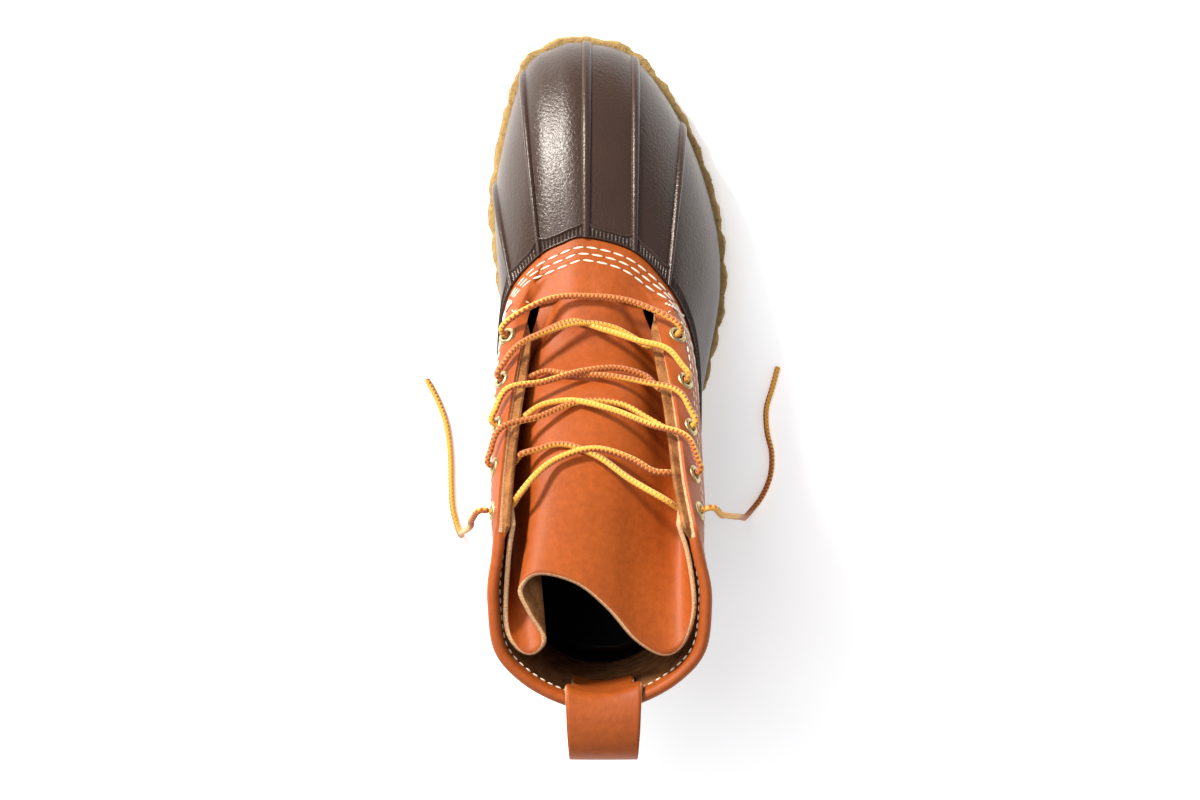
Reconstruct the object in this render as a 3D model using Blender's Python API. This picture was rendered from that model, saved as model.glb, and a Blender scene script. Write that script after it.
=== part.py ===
"""Duck boot for the right foot: moulded rubber bottom, leather shaft, bellows tongue and pull loop.

Metres, +Z up, toe towards +Y, outer side of the foot towards +X, standing on z = 0.
The tables hold shares of the named sizes, which are millimetres. Position u counts the stations
round the boot: 0 at the toe, along the outer side to the heel, and back along the inner side.
"""

import math
from bisect import bisect_right
from functools import lru_cache

import bmesh
import bpy
import numpy as np
from mathutils import Matrix, Vector

MM = 0.001

# Main sizes of the boot
BOOT_LENGTH = 303.0
BALL_WIDTH = 115.0
RIM_HEIGHT = 78.0
COLLAR_HEIGHT = 165.0

# Outsole
HEEL_THICKNESS = 15.0
BALL_THICKNESS = 11.0
TOE_THICKNESS = 9.0
TOE_SPRING = 12.0
ARCH_LIFT = 3.5
SOLE_LEDGE = 4.0
SCALLOP_DEPTH = 1.3
SCALLOPS = 44
TREAD_DEPTH = 3.0
TREAD_PITCH = 17.0
TREAD_GROOVE = 4.4
TREAD_WAVE = 5.0
TREAD_WAVES = 2

# Walls and the clearance between pieces that touch
RUBBER_WALL = 3.0
FLANGE_WALL = 1.6
FLANGE_WIDTH = 6.0
RIM_BEAD_WIDTH = 5.0
RIM_BEAD_HEIGHT = 1.0
RIB_WIDTH = 4.4
RIB_HEIGHT = 1.3
LEATHER = 2.2
COLLAR_TURN_IN = 6.0
COLLAR_WALL = 4.2
TONGUE_LEATHER = 2.0
FACING_WIDTH = 15.0
FACING_WALL = 4.2
INSOLE_THICKNESS = 3.5
INSOLE_MARGIN = 3.2
SEAT_GAP = 0.3

# Eyelets and lace
EYELET_ROWS = 5
EYELET_INSET = 8.0
EYELET_FLANGE_RADIUS = 4.3
EYELET_FLANGE_THICKNESS = 0.9
EYELET_BARREL_RADIUS = 2.9
EYELET_BORE_RADIUS = 2.2
EYELET_HOLE_CLEARANCE = 0.3
LACE_DIAMETER = 3.0

# Pull loop at the back of the collar
LOOP_WIDTH = 32.0
LOOP_THICKNESS = 2.4
LOOP_DEPTH_INSIDE = 27.0
LOOP_DEPTH_OUTSIDE = 46.0
LOOP_SIDE = 1.5
LOOP_SECTION_COUNT = 13
HEEL_STATION_WIDTH = 35.0
WALL_BOW = 3.4
WALL_CLEARANCE = 0.5

# The loop's free part, from inside the collar over it and down behind: back from the collar's back
# edge, up from it, the strap's width there and how much it follows the wall's curve.
LOOP_COLUMNS = ("back", "up", "width", "bow")
LOOP_ROWS = (
    (-7.3, -2.0, 1.00, 1.10),
    (-6.3, 2.8, 1.00, 1.05),
    (-0.5, 6.0, 0.99, 0.80),
    (8.0, 6.2, 0.96, 0.35),
    (16.0, 2.6, 0.92, 0.10),
    (20.0, -5.5, 0.90, 0.05),
    (18.6, -15.0, 0.92, 0.15),
    (12.5, -24.0, 0.96, 0.50),
    (6.2, -31.5, 1.00, 0.90),
)

# Lace: how far it passes over an eyelet and under a facing, and its free ends, from the top eyelets
# down to the floor: to the outside of the eyelet's centre, ahead of it and height over the floor.
LACE_OVER_EYELET = 3.3
LACE_OVER_EDGE = 4.3
LACE_TO_EYELET = 3.9
LACE_UNDER_FACING = 2.1
LACE_DEPTH = 1.9
LACE_TOP_DEPTH = 2.3
LACE_SIDE_COUNT = 1
LACE_BEND = 24.0
BAR_SLOPE = 0.4
CROSSING_SLOPE = 0.8
CROSSING_REST = 1.5

# Where the eyelets stand along each facing, as shares of its length; how far after its eyelet the
# lace comes out from under a facing, and the first bar's sag towards the toe at its quarters.
OUTER_EYELETS = (0.158, 0.363, 0.561, 0.759, 0.909)
INNER_EYELETS = (0.167, 0.358, 0.553, 0.728, 0.907)
OUTER_LEAVING = 0.5
INNER_LEAVING = -4.0
TOP_LEAVING = -3.0
BAR_ARCHES = (15.0, 16.4, 13.2)

# A crossing's strands sag towards the toe: how far at each share of the way, for the strand from
# the inner facing and for the one from the outer facing, from the lowest crossing up.
ARCH_SHARES = (0.10, 0.25, 0.50, 0.75)
CROSSING_ARCHES = (
    ((3.8, 8.5, 6.5, 3.2), (3.9, 8.7, 11.1, 7.7)),
    ((3.4, 3.5, 4.7, 3.6), (5.7, 9.3, 8.6, 4.2)),
    ((5.9, 9.6, 9.0, 4.7), (4.2, 10.6, 12.6, 6.5)),
    ((3.9, 9.3, 9.8, 4.1), (1.6, 8.3, 15.4, 13.4)),
)
LACE_END_COLUMNS = ("side", "ahead", "height")
LACE_END_OUTER = (
    (9.7, -1.9, 144.0),
    (11.7, -2.7, 130.0),
    (17.2, -4.9, 98.0),
    (21.4, -6.5, 66.0),
    (25.6, -8.3, 30.0),
    (29.6, -8.0, 7.0),
    (33.8, -3.4, 1.5),
    (38.8, 4.2, 1.5),
    (41.2, 14.6, 1.5),
    (41.0, 24.2, 1.5),
    (38.8, 33.2, 1.5),
    (38.6, 42.2, 1.5),
    (41.0, 51.0, 1.5),
    (44.4, 63.7, 1.5),
)
LACE_END_INNER = (
    (9.4, -3.6, 144.0),
    (10.5, -6.6, 130.0),
    (14.5, -10.8, 98.0),
    (17.9, -13.2, 66.0),
    (20.7, -15.6, 30.0),
    (22.5, -17.1, 7.0),
    (23.9, -14.9, 1.5),
    (25.9, -7.5, 1.5),
    (26.9, 3.1, 1.5),
    (27.1, 14.1, 1.5),
    (27.7, 24.7, 1.5),
    (29.5, 36.1, 1.5),
    (34.1, 48.5, 1.5),
    (39.1, 57.9, 1.5),
)

STATIONS = 20
RIB_STATIONS = (0, 1, 2, 17, 18)

# A row for each station round the boot. sole_x and rim_x are shares of the ball width, sole_y and
# rim_y of the boot length, rim_z of the rim height. wall is how far the rubber rises steeply from
# the sole, a share of the rim height. reach is how far it leaves the rim towards the sole's edge.
# belly is how far the rubber and lean how far the leather above it stand out, shares of the width.
STATION_COLUMNS = ("sole_x", "sole_y", "rim_x", "rim_y", "rim_z", "wall", "reach", "belly", "lean")
STATION_ROWS = (
    (-0.052, 1.000, -0.057, 0.668, 1.000, 0.36, 0.52, 0.008, 0.000),  # 0 toe, middle rib
    (0.165, 0.974, 0.136, 0.647, 0.968, 0.36, 0.50, 0.008, 0.000),  # 1 outer rib
    (0.374, 0.866, 0.271, 0.596, 0.905, 0.38, 0.42, 0.010, 0.000),  # 2 outermost rib
    (0.503, 0.728, 0.337, 0.551, 0.853, 0.40, 0.30, 0.014, 0.004),  # 3 little toe
    (0.535, 0.607, 0.374, 0.505, 0.808, 0.36, 0.20, 0.016, 0.010),  # 4 outer ball
    (0.478, 0.488, 0.395, 0.442, 0.769, 0.28, 0.10, 0.020, 0.014),  # 5 behind the outer ball
    (0.387, 0.363, 0.398, 0.356, 0.737, 0.22, 0.05, 0.022, 0.014),  # 6 outer waist
    (0.352, 0.231, 0.378, 0.238, 0.744, 0.22, 0.05, 0.020, 0.004),  # 7 front of the heel
    (0.343, 0.122, 0.335, 0.125, 0.782, 0.24, 0.05, 0.026, -0.004),  # 8 side of the heel
    (0.224, 0.026, 0.206, 0.043, 0.820, 0.26, 0.05, 0.030, -0.010),  # 9 heel corner
    (0.000, 0.000, 0.000, 0.016, 0.840, 0.26, 0.05, 0.030, -0.016),  # 10 back of the heel
    (-0.220, 0.026, -0.206, 0.043, 0.820, 0.26, 0.05, 0.030, -0.010),  # 11
    (-0.335, 0.122, -0.339, 0.125, 0.782, 0.24, 0.05, 0.026, -0.004),  # 12
    (-0.326, 0.231, -0.383, 0.238, 0.744, 0.22, 0.05, 0.020, 0.004),  # 13
    (-0.326, 0.363, -0.404, 0.356, 0.737, 0.22, 0.05, 0.020, 0.014),  # 14 inner waist
    (-0.374, 0.495, -0.409, 0.449, 0.756, 0.26, 0.10, 0.018, 0.014),  # 15
    (-0.439, 0.620, -0.396, 0.538, 0.808, 0.34, 0.20, 0.014, 0.010),  # 16 inner ball
    (-0.467, 0.765, -0.348, 0.596, 0.878, 0.40, 0.34, 0.012, 0.004),  # 17 innermost rib
    (-0.350, 0.946, -0.239, 0.641, 0.960, 0.38, 0.46, 0.010, 0.000),  # 18 inner rib
    (-0.200, 0.993, -0.152, 0.659, 0.990, 0.36, 0.52, 0.008, 0.000),  # 19 big toe
)

# A row for each knot of the leather's top line: throat, facings and collar. u is the position round
# the boot, x a share of the ball width, y of the boot length, z of the rise from rim to collar.
# out and down place the surface just below the line, as shares of the ball width.
TOP_COLUMNS = ("u", "x", "y", "z", "out", "down", "corner")
TOP_ROWS = (
    (0.0, -0.035, 0.578, 0.120, 0.00, 0.02, 0),
    (1.0, 0.087, 0.575, 0.100, 0.01, 0.02, 0),
    (1.5, 0.206, 0.566, 0.056, 0.04, 0.05, 1),
    (2.0, 0.228, 0.535, 0.165, 0.10, 0.07, 0),
    (3.0, 0.258, 0.480, 0.340, 0.14, 0.11, 0),
    (4.0, 0.284, 0.426, 0.505, 0.13, 0.14, 0),
    (5.0, 0.304, 0.367, 0.670, 0.12, 0.16, 0),
    (6.0, 0.322, 0.304, 0.840, 0.11, 0.20, 0),
    (6.8, 0.348, 0.250, 0.985, 0.09, 0.24, 1),
    (7.2, 0.375, 0.212, 0.992, 0.04, 0.26, 0),
    (8.0, 0.408, 0.140, 0.985, -0.02, 0.26, 0),
    (8.5, 0.386, 0.075, 0.970, -0.04, 0.28, 0),
    (9.0, 0.292, 0.032, 0.958, -0.06, 0.30, 0),
    (9.5, 0.152, 0.002, 0.950, -0.07, 0.30, 0),
    (10.0, 0.000, -0.011, 0.948, -0.08, 0.30, 0),
    (10.5, -0.152, 0.002, 0.950, -0.07, 0.30, 0),
    (11.0, -0.292, 0.032, 0.958, -0.06, 0.30, 0),
    (11.5, -0.386, 0.075, 0.970, -0.04, 0.28, 0),
    (12.0, -0.410, 0.140, 0.985, -0.02, 0.26, 0),
    (12.8, -0.392, 0.212, 0.992, 0.03, 0.26, 0),
    (13.2, -0.375, 0.252, 0.985, 0.07, 0.24, 1),
    (14.0, -0.368, 0.310, 0.825, 0.09, 0.20, 0),
    (15.0, -0.354, 0.374, 0.655, 0.10, 0.16, 0),
    (16.0, -0.336, 0.432, 0.490, 0.11, 0.14, 0),
    (17.0, -0.314, 0.486, 0.330, 0.12, 0.11, 0),
    (18.0, -0.288, 0.538, 0.160, 0.08, 0.07, 0),
    (18.4, -0.270, 0.566, 0.056, 0.04, 0.05, 1),
    (19.0, -0.150, 0.576, 0.104, 0.01, 0.02, 0),
)

OUTER_FACING = (1.5, 6.8)
INNER_FACING = (18.4, 13.2)

# A row for each fold of the tongue, from the inner facing across to the outer one, as shares of the
# ball width: across the boot and above the facings' edges at the third eyelet, then across and
# ahead of the collar's back along the top edge, and how high that edge stands over the collar.
FOLD_COLUMNS = ("mid_x", "mid_up", "top_x", "top_y", "top_up")
FOLD_ROWS = (
    (-0.366, -0.160, -0.318, 0.690, -0.022),
    (-0.352, -0.210, -0.336, 0.560, -0.022),
    (-0.330, -0.230, -0.345, 0.330, -0.024),
    (-0.310, -0.200, -0.305, 0.235, -0.024),
    (-0.296, -0.150, -0.245, 0.215, -0.020),
    (-0.276, -0.095, -0.205, 0.270, -0.010),
    (-0.240, -0.058, -0.262, 0.375, 0.015),
    (-0.180, -0.036, -0.290, 0.455, 0.035),
    (-0.110, -0.026, -0.225, 0.512, 0.045),
    (-0.030, -0.024, -0.085, 0.478, 0.045),
    (0.050, -0.032, 0.030, 0.385, 0.035),
    (0.110, -0.052, 0.130, 0.270, 0.015),
    (0.165, -0.090, 0.232, 0.212, -0.004),
    (0.215, -0.150, 0.305, 0.250, -0.018),
    (0.262, -0.205, 0.345, 0.380, -0.024),
    (0.300, -0.215, 0.326, 0.560, -0.022),
    (0.328, -0.170, 0.288, 0.690, -0.022),
)


def column_values(rows, columns, names):
    """The named columns of a table's rows, as an array."""
    return np.array([[row[columns.index(name)] for name in names] for row in rows])


def smooth_curve(knots, values, corners=None, period=None):
    """A smooth curve through values at the knots, as a function. It turns sharply at corner knots."""
    knots = np.asarray(knots, float)
    values = np.asarray(values, float)
    corners = np.zeros(len(knots)) if corners is None else np.asarray(corners)
    if period is not None:
        knots = np.concatenate([knots[-2:] - period, knots, knots[:3] + period])
        values = np.concatenate([values[-2:], values, values[:3]])
        corners = np.concatenate([corners[-2:], corners, corners[:3]])
    steps = np.diff(knots)
    slopes = np.diff(values, axis=0) / steps[:, None]
    before = np.concatenate([slopes[:1], slopes])
    after = np.concatenate([slopes, slopes[-1:]])
    weight = np.concatenate([[1.0], steps[1:] / (steps[:-1] + steps[1:]), [0.0]])[:, None]
    mixed = before * weight + after * (1 - weight)
    mixed[0], mixed[-1] = slopes[0], slopes[-1]
    sharp = (corners > 0)[:, None]
    arriving = np.where(sharp, before, mixed)
    leaving = np.where(sharp, after, mixed)

    def read(u):
        u = u % period if period is not None else u
        i = min(max(bisect_right(knots, u) - 1, 0), len(knots) - 2)
        t = (u - knots[i]) / steps[i]
        t2, t3 = t * t, t * t * t
        return (
            values[i] * (2 * t3 - 3 * t2 + 1)
            + leaving[i] * (steps[i] * (t3 - 2 * t2 + t))
            + values[i + 1] * (3 * t2 - 2 * t3)
            + arriving[i + 1] * (steps[i] * (t3 - t2))
        )

    return read


TOP_KNOTS = column_values(TOP_ROWS, TOP_COLUMNS, ("u",))[:, 0]
TOP_CORNERS = column_values(TOP_ROWS, TOP_COLUMNS, ("corner",))[:, 0]


def station_curve(*names):
    """The named station columns as a smooth closed curve."""
    return smooth_curve(np.arange(STATIONS), column_values(STATION_ROWS, STATION_COLUMNS, names),
                        period=STATIONS)


def top_curve(*names, corners=None):
    """The named columns of the top line as a smooth closed curve."""
    return smooth_curve(TOP_KNOTS, column_values(TOP_ROWS, TOP_COLUMNS, names), corners, STATIONS)


SOLE_SHARES = station_curve("sole_x", "sole_y")
RIM_SHARES = station_curve("rim_x", "rim_y", "rim_z")
RUBBER_SHAPE = station_curve("wall", "reach", "belly")
LEATHER_LEAN = station_curve("lean")
TOP_SHARES = top_curve("x", "y", "z", corners=TOP_CORNERS)
TOP_SHAPE = top_curve("out", "down")
FOLDS = smooth_curve(np.linspace(0, 1, len(FOLD_ROWS)), np.array(FOLD_ROWS))


def sole_outline(u):
    """The outsole's plain outline, without scallops."""
    x, y = SOLE_SHARES(u)
    return np.array([x * BALL_WIDTH, y * BOOT_LENGTH])


@lru_cache(maxsize=None)
def outward(u):
    """The direction out of the boot in plan, square to the sole's outline."""
    step = 0.05
    along = sole_outline(u + step) - sole_outline(u - step)
    normal = np.array([-along[1], along[0]])
    return normal / np.linalg.norm(normal)


def smooth_step(value, low, high):
    t = float(np.clip((value - low) / (high - low), 0.0, 1.0))
    return t * t * (3 - 2 * t)


def sole_lift(y):
    """How far the toe spring raises the sole at y."""
    start = 0.72 * BOOT_LENGTH
    return TOE_SPRING * max(0.0, (y - start) / (BOOT_LENGTH - start)) ** 2


def sole_bottom(y):
    """Height of the tread's face: flat at heel and forefoot, lifted at the arch and the toe."""
    rise = smooth_step(y, 0.29 * BOOT_LENGTH, 0.34 * BOOT_LENGTH)
    fall = smooth_step(y, 0.43 * BOOT_LENGTH, 0.49 * BOOT_LENGTH)
    heel_edge = max(0.0, 1 - y / (0.04 * BOOT_LENGTH)) ** 2
    return sole_lift(y) + ARCH_LIFT * (rise - fall) + heel_edge


def sole_top(y):
    """Height of the outsole's upper face, which carries the rubber bottom."""
    to_ball = smooth_step(y, 0.25 * BOOT_LENGTH, 0.60 * BOOT_LENGTH)
    to_toe = smooth_step(y, 0.70 * BOOT_LENGTH, BOOT_LENGTH)
    thickness = HEEL_THICKNESS + (BALL_THICKNESS - HEEL_THICKNESS) * to_ball
    return sole_lift(y) + thickness + (TOE_THICKNESS - BALL_THICKNESS) * to_toe


@lru_cache(maxsize=None)
def foot_line(u):
    """Where the rubber bottom meets the outsole."""
    x, y = sole_outline(u) - outward(u) * SOLE_LEDGE
    return np.array([x, y, sole_top(y) + SEAT_GAP])


@lru_cache(maxsize=None)
def rim_line(u):
    """The rubber's top edge, where the leather starts."""
    x, y, z = RIM_SHARES(u)
    return np.array([x * BALL_WIDTH, y * BOOT_LENGTH, z * RIM_HEIGHT])


@lru_cache(maxsize=None)
def top_line(u):
    """The leather's top line: throat, facing and collar."""
    x, y, z = TOP_SHARES(u)
    rise = COLLAR_HEIGHT - RIM_HEIGHT
    return np.array([x * BALL_WIDTH, y * BOOT_LENGTH, RIM_HEIGHT + z * rise])


def bezier(p0, p1, p2, p3, t):
    s = 1 - t
    return p0 * s**3 + 3 * p1 * s * s * t + 3 * p2 * s * t * t + p3 * t**3


def rubber_surface(u, v):
    """Outer face of the rubber bottom: v runs from the sole, 0, to the rim, 1."""
    foot, rim = foot_line(u), rim_line(u)
    wall, reach, belly = RUBBER_SHAPE(u)
    out = np.array([*outward(u), 0.0])
    towards = (foot - rim) * np.array([1.0, 1.0, 0.0])
    steep = np.array([0.0, 0.0, wall * RIM_HEIGHT])
    low = foot + out * belly * BALL_WIDTH + steep
    high = rim + towards * reach + out * belly * BALL_WIDTH * 0.6
    fall = 0.10 + 0.5 * (1 - reach) * 0.5
    high = high - np.array([0.0, 0.0, fall * (rim[2] - foot[2]) * (1 - reach)])
    return bezier(foot, low, high, rim, v)


def leather_surface(u, w):
    """Outer face of the leather: w runs from the rim, 0, to the top line, 1."""
    rim, top = rim_line(u), top_line(u)
    lean = LEATHER_LEAN(u)[0]
    out_top, down = TOP_SHAPE(u)
    out = np.array([*outward(u), 0.0])
    rise = top[2] - rim[2]
    third = (top - rim) / 3
    low = rim + third * np.array([1.0, 1.0, 0.0]) + np.array([0.0, 0.0, 0.36 * rise])
    low = low + out * lean * BALL_WIDTH
    high = top - third * np.array([0.6, 0.6, 0.0]) + out * out_top * BALL_WIDTH * 0.9
    high = high - np.array([0.0, 0.0, min(down * BALL_WIDTH, 0.45 * rise)])
    return bezier(rim, low, high, top, w)


def offset_point(surface, u, v, distance):
    """A point of the surface moved out along its normal."""
    step = 1e-3
    along_u = surface(u + step, v) - surface(u - step, v)
    along_v = surface(u, v + step) - surface(u, v - step)
    normal = np.cross(along_v, along_u)
    return surface(u, v) + normal / np.linalg.norm(normal) * distance


def unit(vector):
    return vector / np.linalg.norm(vector)


@lru_cache(maxsize=None)
def rim_frame(u):
    """Outward and upward directions at the rim, shared by the rubber and the leather above it."""
    rim = rim_line(u)
    rubber = offset_point(rubber_surface, u, 1.0, 1.0) - rim
    leather = offset_point(leather_surface, u, 0.0, 1.0) - rim
    out = unit(rubber + leather)
    along = rim_line(u + 0.01) - rim_line(u - 0.01)
    up = unit(np.cross(along, out))
    return out, up if up[2] > 0 else -up


def at_rim(u, out, up=0.0):
    """A point beside the rim, this far outward and upward from it."""
    outward_way, upward_way = rim_frame(u)
    return rim_line(u) + outward_way * out + upward_way * up


@lru_cache(maxsize=None)
def share_below_top(u, distance):
    """The w at which the leather lies this far below its top line, or above it for less than 0."""
    samples = np.linspace(1.0, 0.0, 41)
    points = np.array([leather_surface(u, w) for w in samples])
    lengths = np.concatenate([[0.0], np.cumsum(np.linalg.norm(np.diff(points, axis=0), axis=1))])
    if distance < 0:
        return 1.0 - distance * (samples[0] - samples[1]) / lengths[1]
    return float(np.interp(distance, lengths, samples))


@lru_cache(maxsize=None)
def share_above_rim(u, distance):
    """The w at which the leather lies this far above the rim."""
    samples = np.linspace(0.0, 1.0, 41)
    points = np.array([leather_surface(u, w) for w in samples])
    lengths = np.concatenate([[0.0], np.cumsum(np.linalg.norm(np.diff(points, axis=0), axis=1))])
    return float(np.interp(distance, lengths, samples))


@lru_cache(maxsize=None)
def share_below_rim(u, distance):
    """The v at which the rubber lies this far below its rim."""
    samples = np.linspace(1.0, 0.0, 41)
    points = np.array([rubber_surface(u, v) for v in samples])
    lengths = np.concatenate([[0.0], np.cumsum(np.linalg.norm(np.diff(points, axis=0), axis=1))])
    return float(np.interp(distance, lengths, samples))


def mesh_object(name, points, faces, material, smooth_angle=35):
    """A mesh object from points in millimetres, in triangles, which cut and join cleanly."""
    mesh = bpy.data.meshes.new(name)
    bm = bmesh.new()
    verts = [bm.verts.new(Vector(p) * MM) for p in points]
    for face in faces:
        bm.faces.new([verts[i] for i in face])
    bmesh.ops.recalc_face_normals(bm, faces=bm.faces)
    if bm.calc_volume(signed=True) < 0:
        bmesh.ops.reverse_faces(bm, faces=bm.faces)
    bmesh.ops.triangulate(bm, faces=bm.faces)
    bm.to_mesh(mesh)
    bm.free()
    mesh.shade_smooth()
    mesh.set_sharp_from_angle(angle=math.radians(smooth_angle))
    mesh.materials.append(material)
    obj = bpy.data.objects.new(name, mesh)
    BOOT.objects.link(obj)
    return obj


def zipped_cap(ring, base):
    """Triangles that close a ring, toe point first, with edges that run straight across the boot."""
    heel = min(range(len(ring)), key=lambda i: ring[i][1])
    one = list(range(heel + 1))
    other = [0] + list(range(len(ring) - 1, heel - 1, -1))
    faces = []
    i = j = 0
    while i + 1 < len(one) or j + 1 < len(other):
        ahead = i + 1 < len(one) and (
            j + 1 >= len(other) or ring[one[i + 1]][1] >= ring[other[j + 1]][1]
        )
        face = (one[i], one[i + 1], other[j]) if ahead else (one[i], other[j + 1], other[j])
        i, j = (i + 1, j) if ahead else (i, j + 1)
        if len(set(face)) == 3:
            faces.append(tuple(base + k for k in face))
    return faces


def loft_rings(rings, closed=False, caps=False):
    """Points and faces of a loft through rings of the same number of points."""
    count = len(rings[0])
    points = [p for ring in rings for p in ring]
    faces = []
    last = len(rings) if closed else len(rings) - 1
    for r in range(last):
        a, b = r * count, ((r + 1) % len(rings)) * count
        for i in range(count):
            j = (i + 1) % count
            faces.append((a + i, a + j, b + j, b + i))
    if caps:
        faces += [tuple(reversed(f)) for f in zipped_cap(rings[0], 0)]
        faces += zipped_cap(rings[-1], (len(rings) - 1) * count)
    return points, faces


def loft_strip(sections):
    """Points and faces of a solid strip through closed sections, with flat ends."""
    points, faces = loft_rings(sections)
    count = len(sections[0])
    faces.append(tuple(reversed(range(count))))
    faces.append(tuple((len(sections) - 1) * count + i for i in range(count)))
    return points, faces


def even_positions(per_station):
    """Positions round the boot, the same number between all stations."""
    return [i / per_station for i in range(STATIONS * per_station)]


@lru_cache(maxsize=None)
def rib_share(u):
    """Half of a rib's width as a step of u, from the spacing of the iso-lines half way up."""
    step = 0.2
    gap = np.linalg.norm(rubber_surface(u + step, 0.55) - rubber_surface(u - step, 0.55))
    return RIB_WIDTH / 2 / gap * 2 * step


def rubber_positions():
    """Positions round the rubber, with four more at each rib: the foot and the crest of its sides."""
    found = []
    ribs = [(k, rib_share(k)) for k in RIB_STATIONS]
    for u in even_positions(3):
        near = min(abs((u - k + STATIONS / 2) % STATIONS - STATIONS / 2) for k, _ in ribs)
        corner = min(abs(u - OUTER_FACING[0]), abs(u - INNER_FACING[0]))
        if (near > 0.2 or u in RIB_STATIONS) and corner > 0.2:
            found.append(u)
    found += [OUTER_FACING[0], INNER_FACING[0]]
    for k, half in ribs:
        found += [(k + side * half * part) % STATIONS for side in (-1, 1) for part in (0.45, 1.0)]
    return sorted(found)


def rib_height(u, v):
    """How far a rib raises the rubber at u and v."""
    for k in RIB_STATIONS:
        away = abs((u - k + STATIONS / 2) % STATIONS - STATIONS / 2) / rib_share(k)
        if away < 0.99:
            crest = min(1.0, (1.0 - away) / 0.5)
            ends = smooth_step(v, 0.04, 0.16)
            return RIB_HEIGHT * crest * ends
    return 0.0


def make_rubber_bottom(material):
    """Moulded bottom: a bowl with a floor, ribs on the toe, a bead round its rim and a stitching flange."""
    positions = rubber_positions()
    lap = LEATHER + SEAT_GAP

    def ring(v, lift):
        return [offset_point(rubber_surface, u, v, lift + rib_height(u, v)) for u in positions]

    def bead_ring(below, lift):
        found = []
        for u in positions:
            v = share_below_rim(u, RIM_BEAD_WIDTH + below)
            found.append(offset_point(rubber_surface, u, v, max(lift, rib_height(u, v))))
        return found

    rings = [ring(v, 0.0) for v in (0.0, 0.16, 0.35, 0.55, 0.76)]
    rings.append(bead_ring(0.5, 0.0))
    rings.append(bead_ring(-0.5, RIM_BEAD_HEIGHT))
    rings.append([at_rim(u, RIM_BEAD_HEIGHT) for u in positions])
    rings.append([at_rim(u, -lap) for u in positions])
    for depth in (lap, lap + FLANGE_WALL):
        rings.append([
            offset_point(leather_surface, u, share_above_rim(u, FLANGE_WIDTH), -depth) for u in positions
        ])
    rings.append([at_rim(u, -lap - FLANGE_WALL) for u in positions])
    for v in (0.60, 0.22):
        rings.append([offset_point(rubber_surface, u, v, -RUBBER_WALL) for u in positions])
    floor = []
    for u in positions:
        x, y, _ = foot_line(u) - np.array([*outward(u), 0.0]) * RUBBER_WALL
        floor.append(np.array([x, y, sole_top(y) + SEAT_GAP + RUBBER_WALL]))
    rings.append(floor)
    points, faces = loft_rings(rings, caps=True)
    return mesh_object("rubber_bottom", points, faces, material)


def scalloped_outline(u_share, inset):
    """The outsole's edge with its scallops: u_share runs round the boot from 0 to 1."""
    wave = abs(math.cos(math.pi * SCALLOPS * u_share))
    u = EDGE_POSITIONS(u_share)
    return sole_outline(u) - outward(u) * (inset + SCALLOP_DEPTH * (1 - wave))


def edge_positions():
    """A function from the share of the sole's perimeter to the position u, so scallops are even."""
    us = np.linspace(0.0, STATIONS, STATIONS * 12 + 1)
    outline = np.array([sole_outline(u) for u in us])
    lengths = np.concatenate([[0.0], np.cumsum(np.linalg.norm(np.diff(outline, axis=0), axis=1))])
    shares = lengths / lengths[-1]
    return lambda share: float(np.interp(share, shares, us))


EDGE_POSITIONS = edge_positions()


def make_tread_cutter():
    """Wavy grooves across the tread, in one mesh that the outsole is cut with."""
    bm = bmesh.new()
    half = BALL_WIDTH * 0.7
    columns = TREAD_WAVES * 4
    rows = int(BOOT_LENGTH / TREAD_PITCH)
    for row in range(1, rows):
        y0 = row * TREAD_PITCH
        if 0.29 < y0 / BOOT_LENGTH < 0.49:
            continue
        depth = sole_bottom(y0) + TREAD_DEPTH
        top, bottom = [], []
        for c in range(columns + 1):
            x = -half + 2 * half * c / columns
            swing = TREAD_WAVE * (1 if c % 4 == 1 else -1 if c % 4 == 3 else 0)
            for side, line in ((-1, top), (1, bottom)):
                line.append((x, y0 + swing + side * TREAD_GROOVE / 2))
        loop = top + bottom[::-1]
        low = [bm.verts.new(Vector((x, y, -TREAD_DEPTH)) * MM) for x, y in loop]
        high = [bm.verts.new(Vector((x, y, depth)) * MM) for x, y in loop]
        count = len(loop)
        for c in range(columns):
            other = count - 1 - c
            bm.faces.new((high[c], high[c + 1], high[other - 1], high[other]))
            bm.faces.new((low[other], low[other - 1], low[c + 1], low[c]))
        for i in range(count):
            j = (i + 1) % count
            bm.faces.new((low[i], low[j], high[j], high[i]))
    bmesh.ops.recalc_face_normals(bm, faces=bm.faces)
    mesh = bpy.data.meshes.new("tread_cutter")
    bm.to_mesh(mesh)
    bm.free()
    cutter = bpy.data.objects.new("tread_cutter", mesh)
    CUTTERS.objects.link(cutter)
    cutter.hide_render = True
    cutter.display_type = "WIRE"
    return cutter


def make_outsole(material):
    """Tan tread sole: scalloped edge, toe spring, arch, heel and chain tread."""
    count = SCALLOPS * 3
    shares = [i / count for i in range(count)]
    rings = []
    for inset, height in ((3.0, "low"), (0.0, "low_edge"), (0.0, "high_edge"), (1.4, "high")):
        ring = []
        for share in shares:
            x, y = scalloped_outline(share, inset)
            low, high = sole_bottom(y), sole_top(y)
            z = {"low": low, "low_edge": low + 1.8, "high_edge": high - 1.6, "high": high}[height]
            ring.append(np.array([x, y, z]))
        rings.append(ring)
    points, faces = loft_rings(rings, caps=True)
    sole = mesh_object("outsole", points, faces, material)
    cut = sole.modifiers.new("tread", "BOOLEAN")
    cut.operation = "DIFFERENCE"
    cut.object = make_tread_cutter()
    return sole


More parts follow.
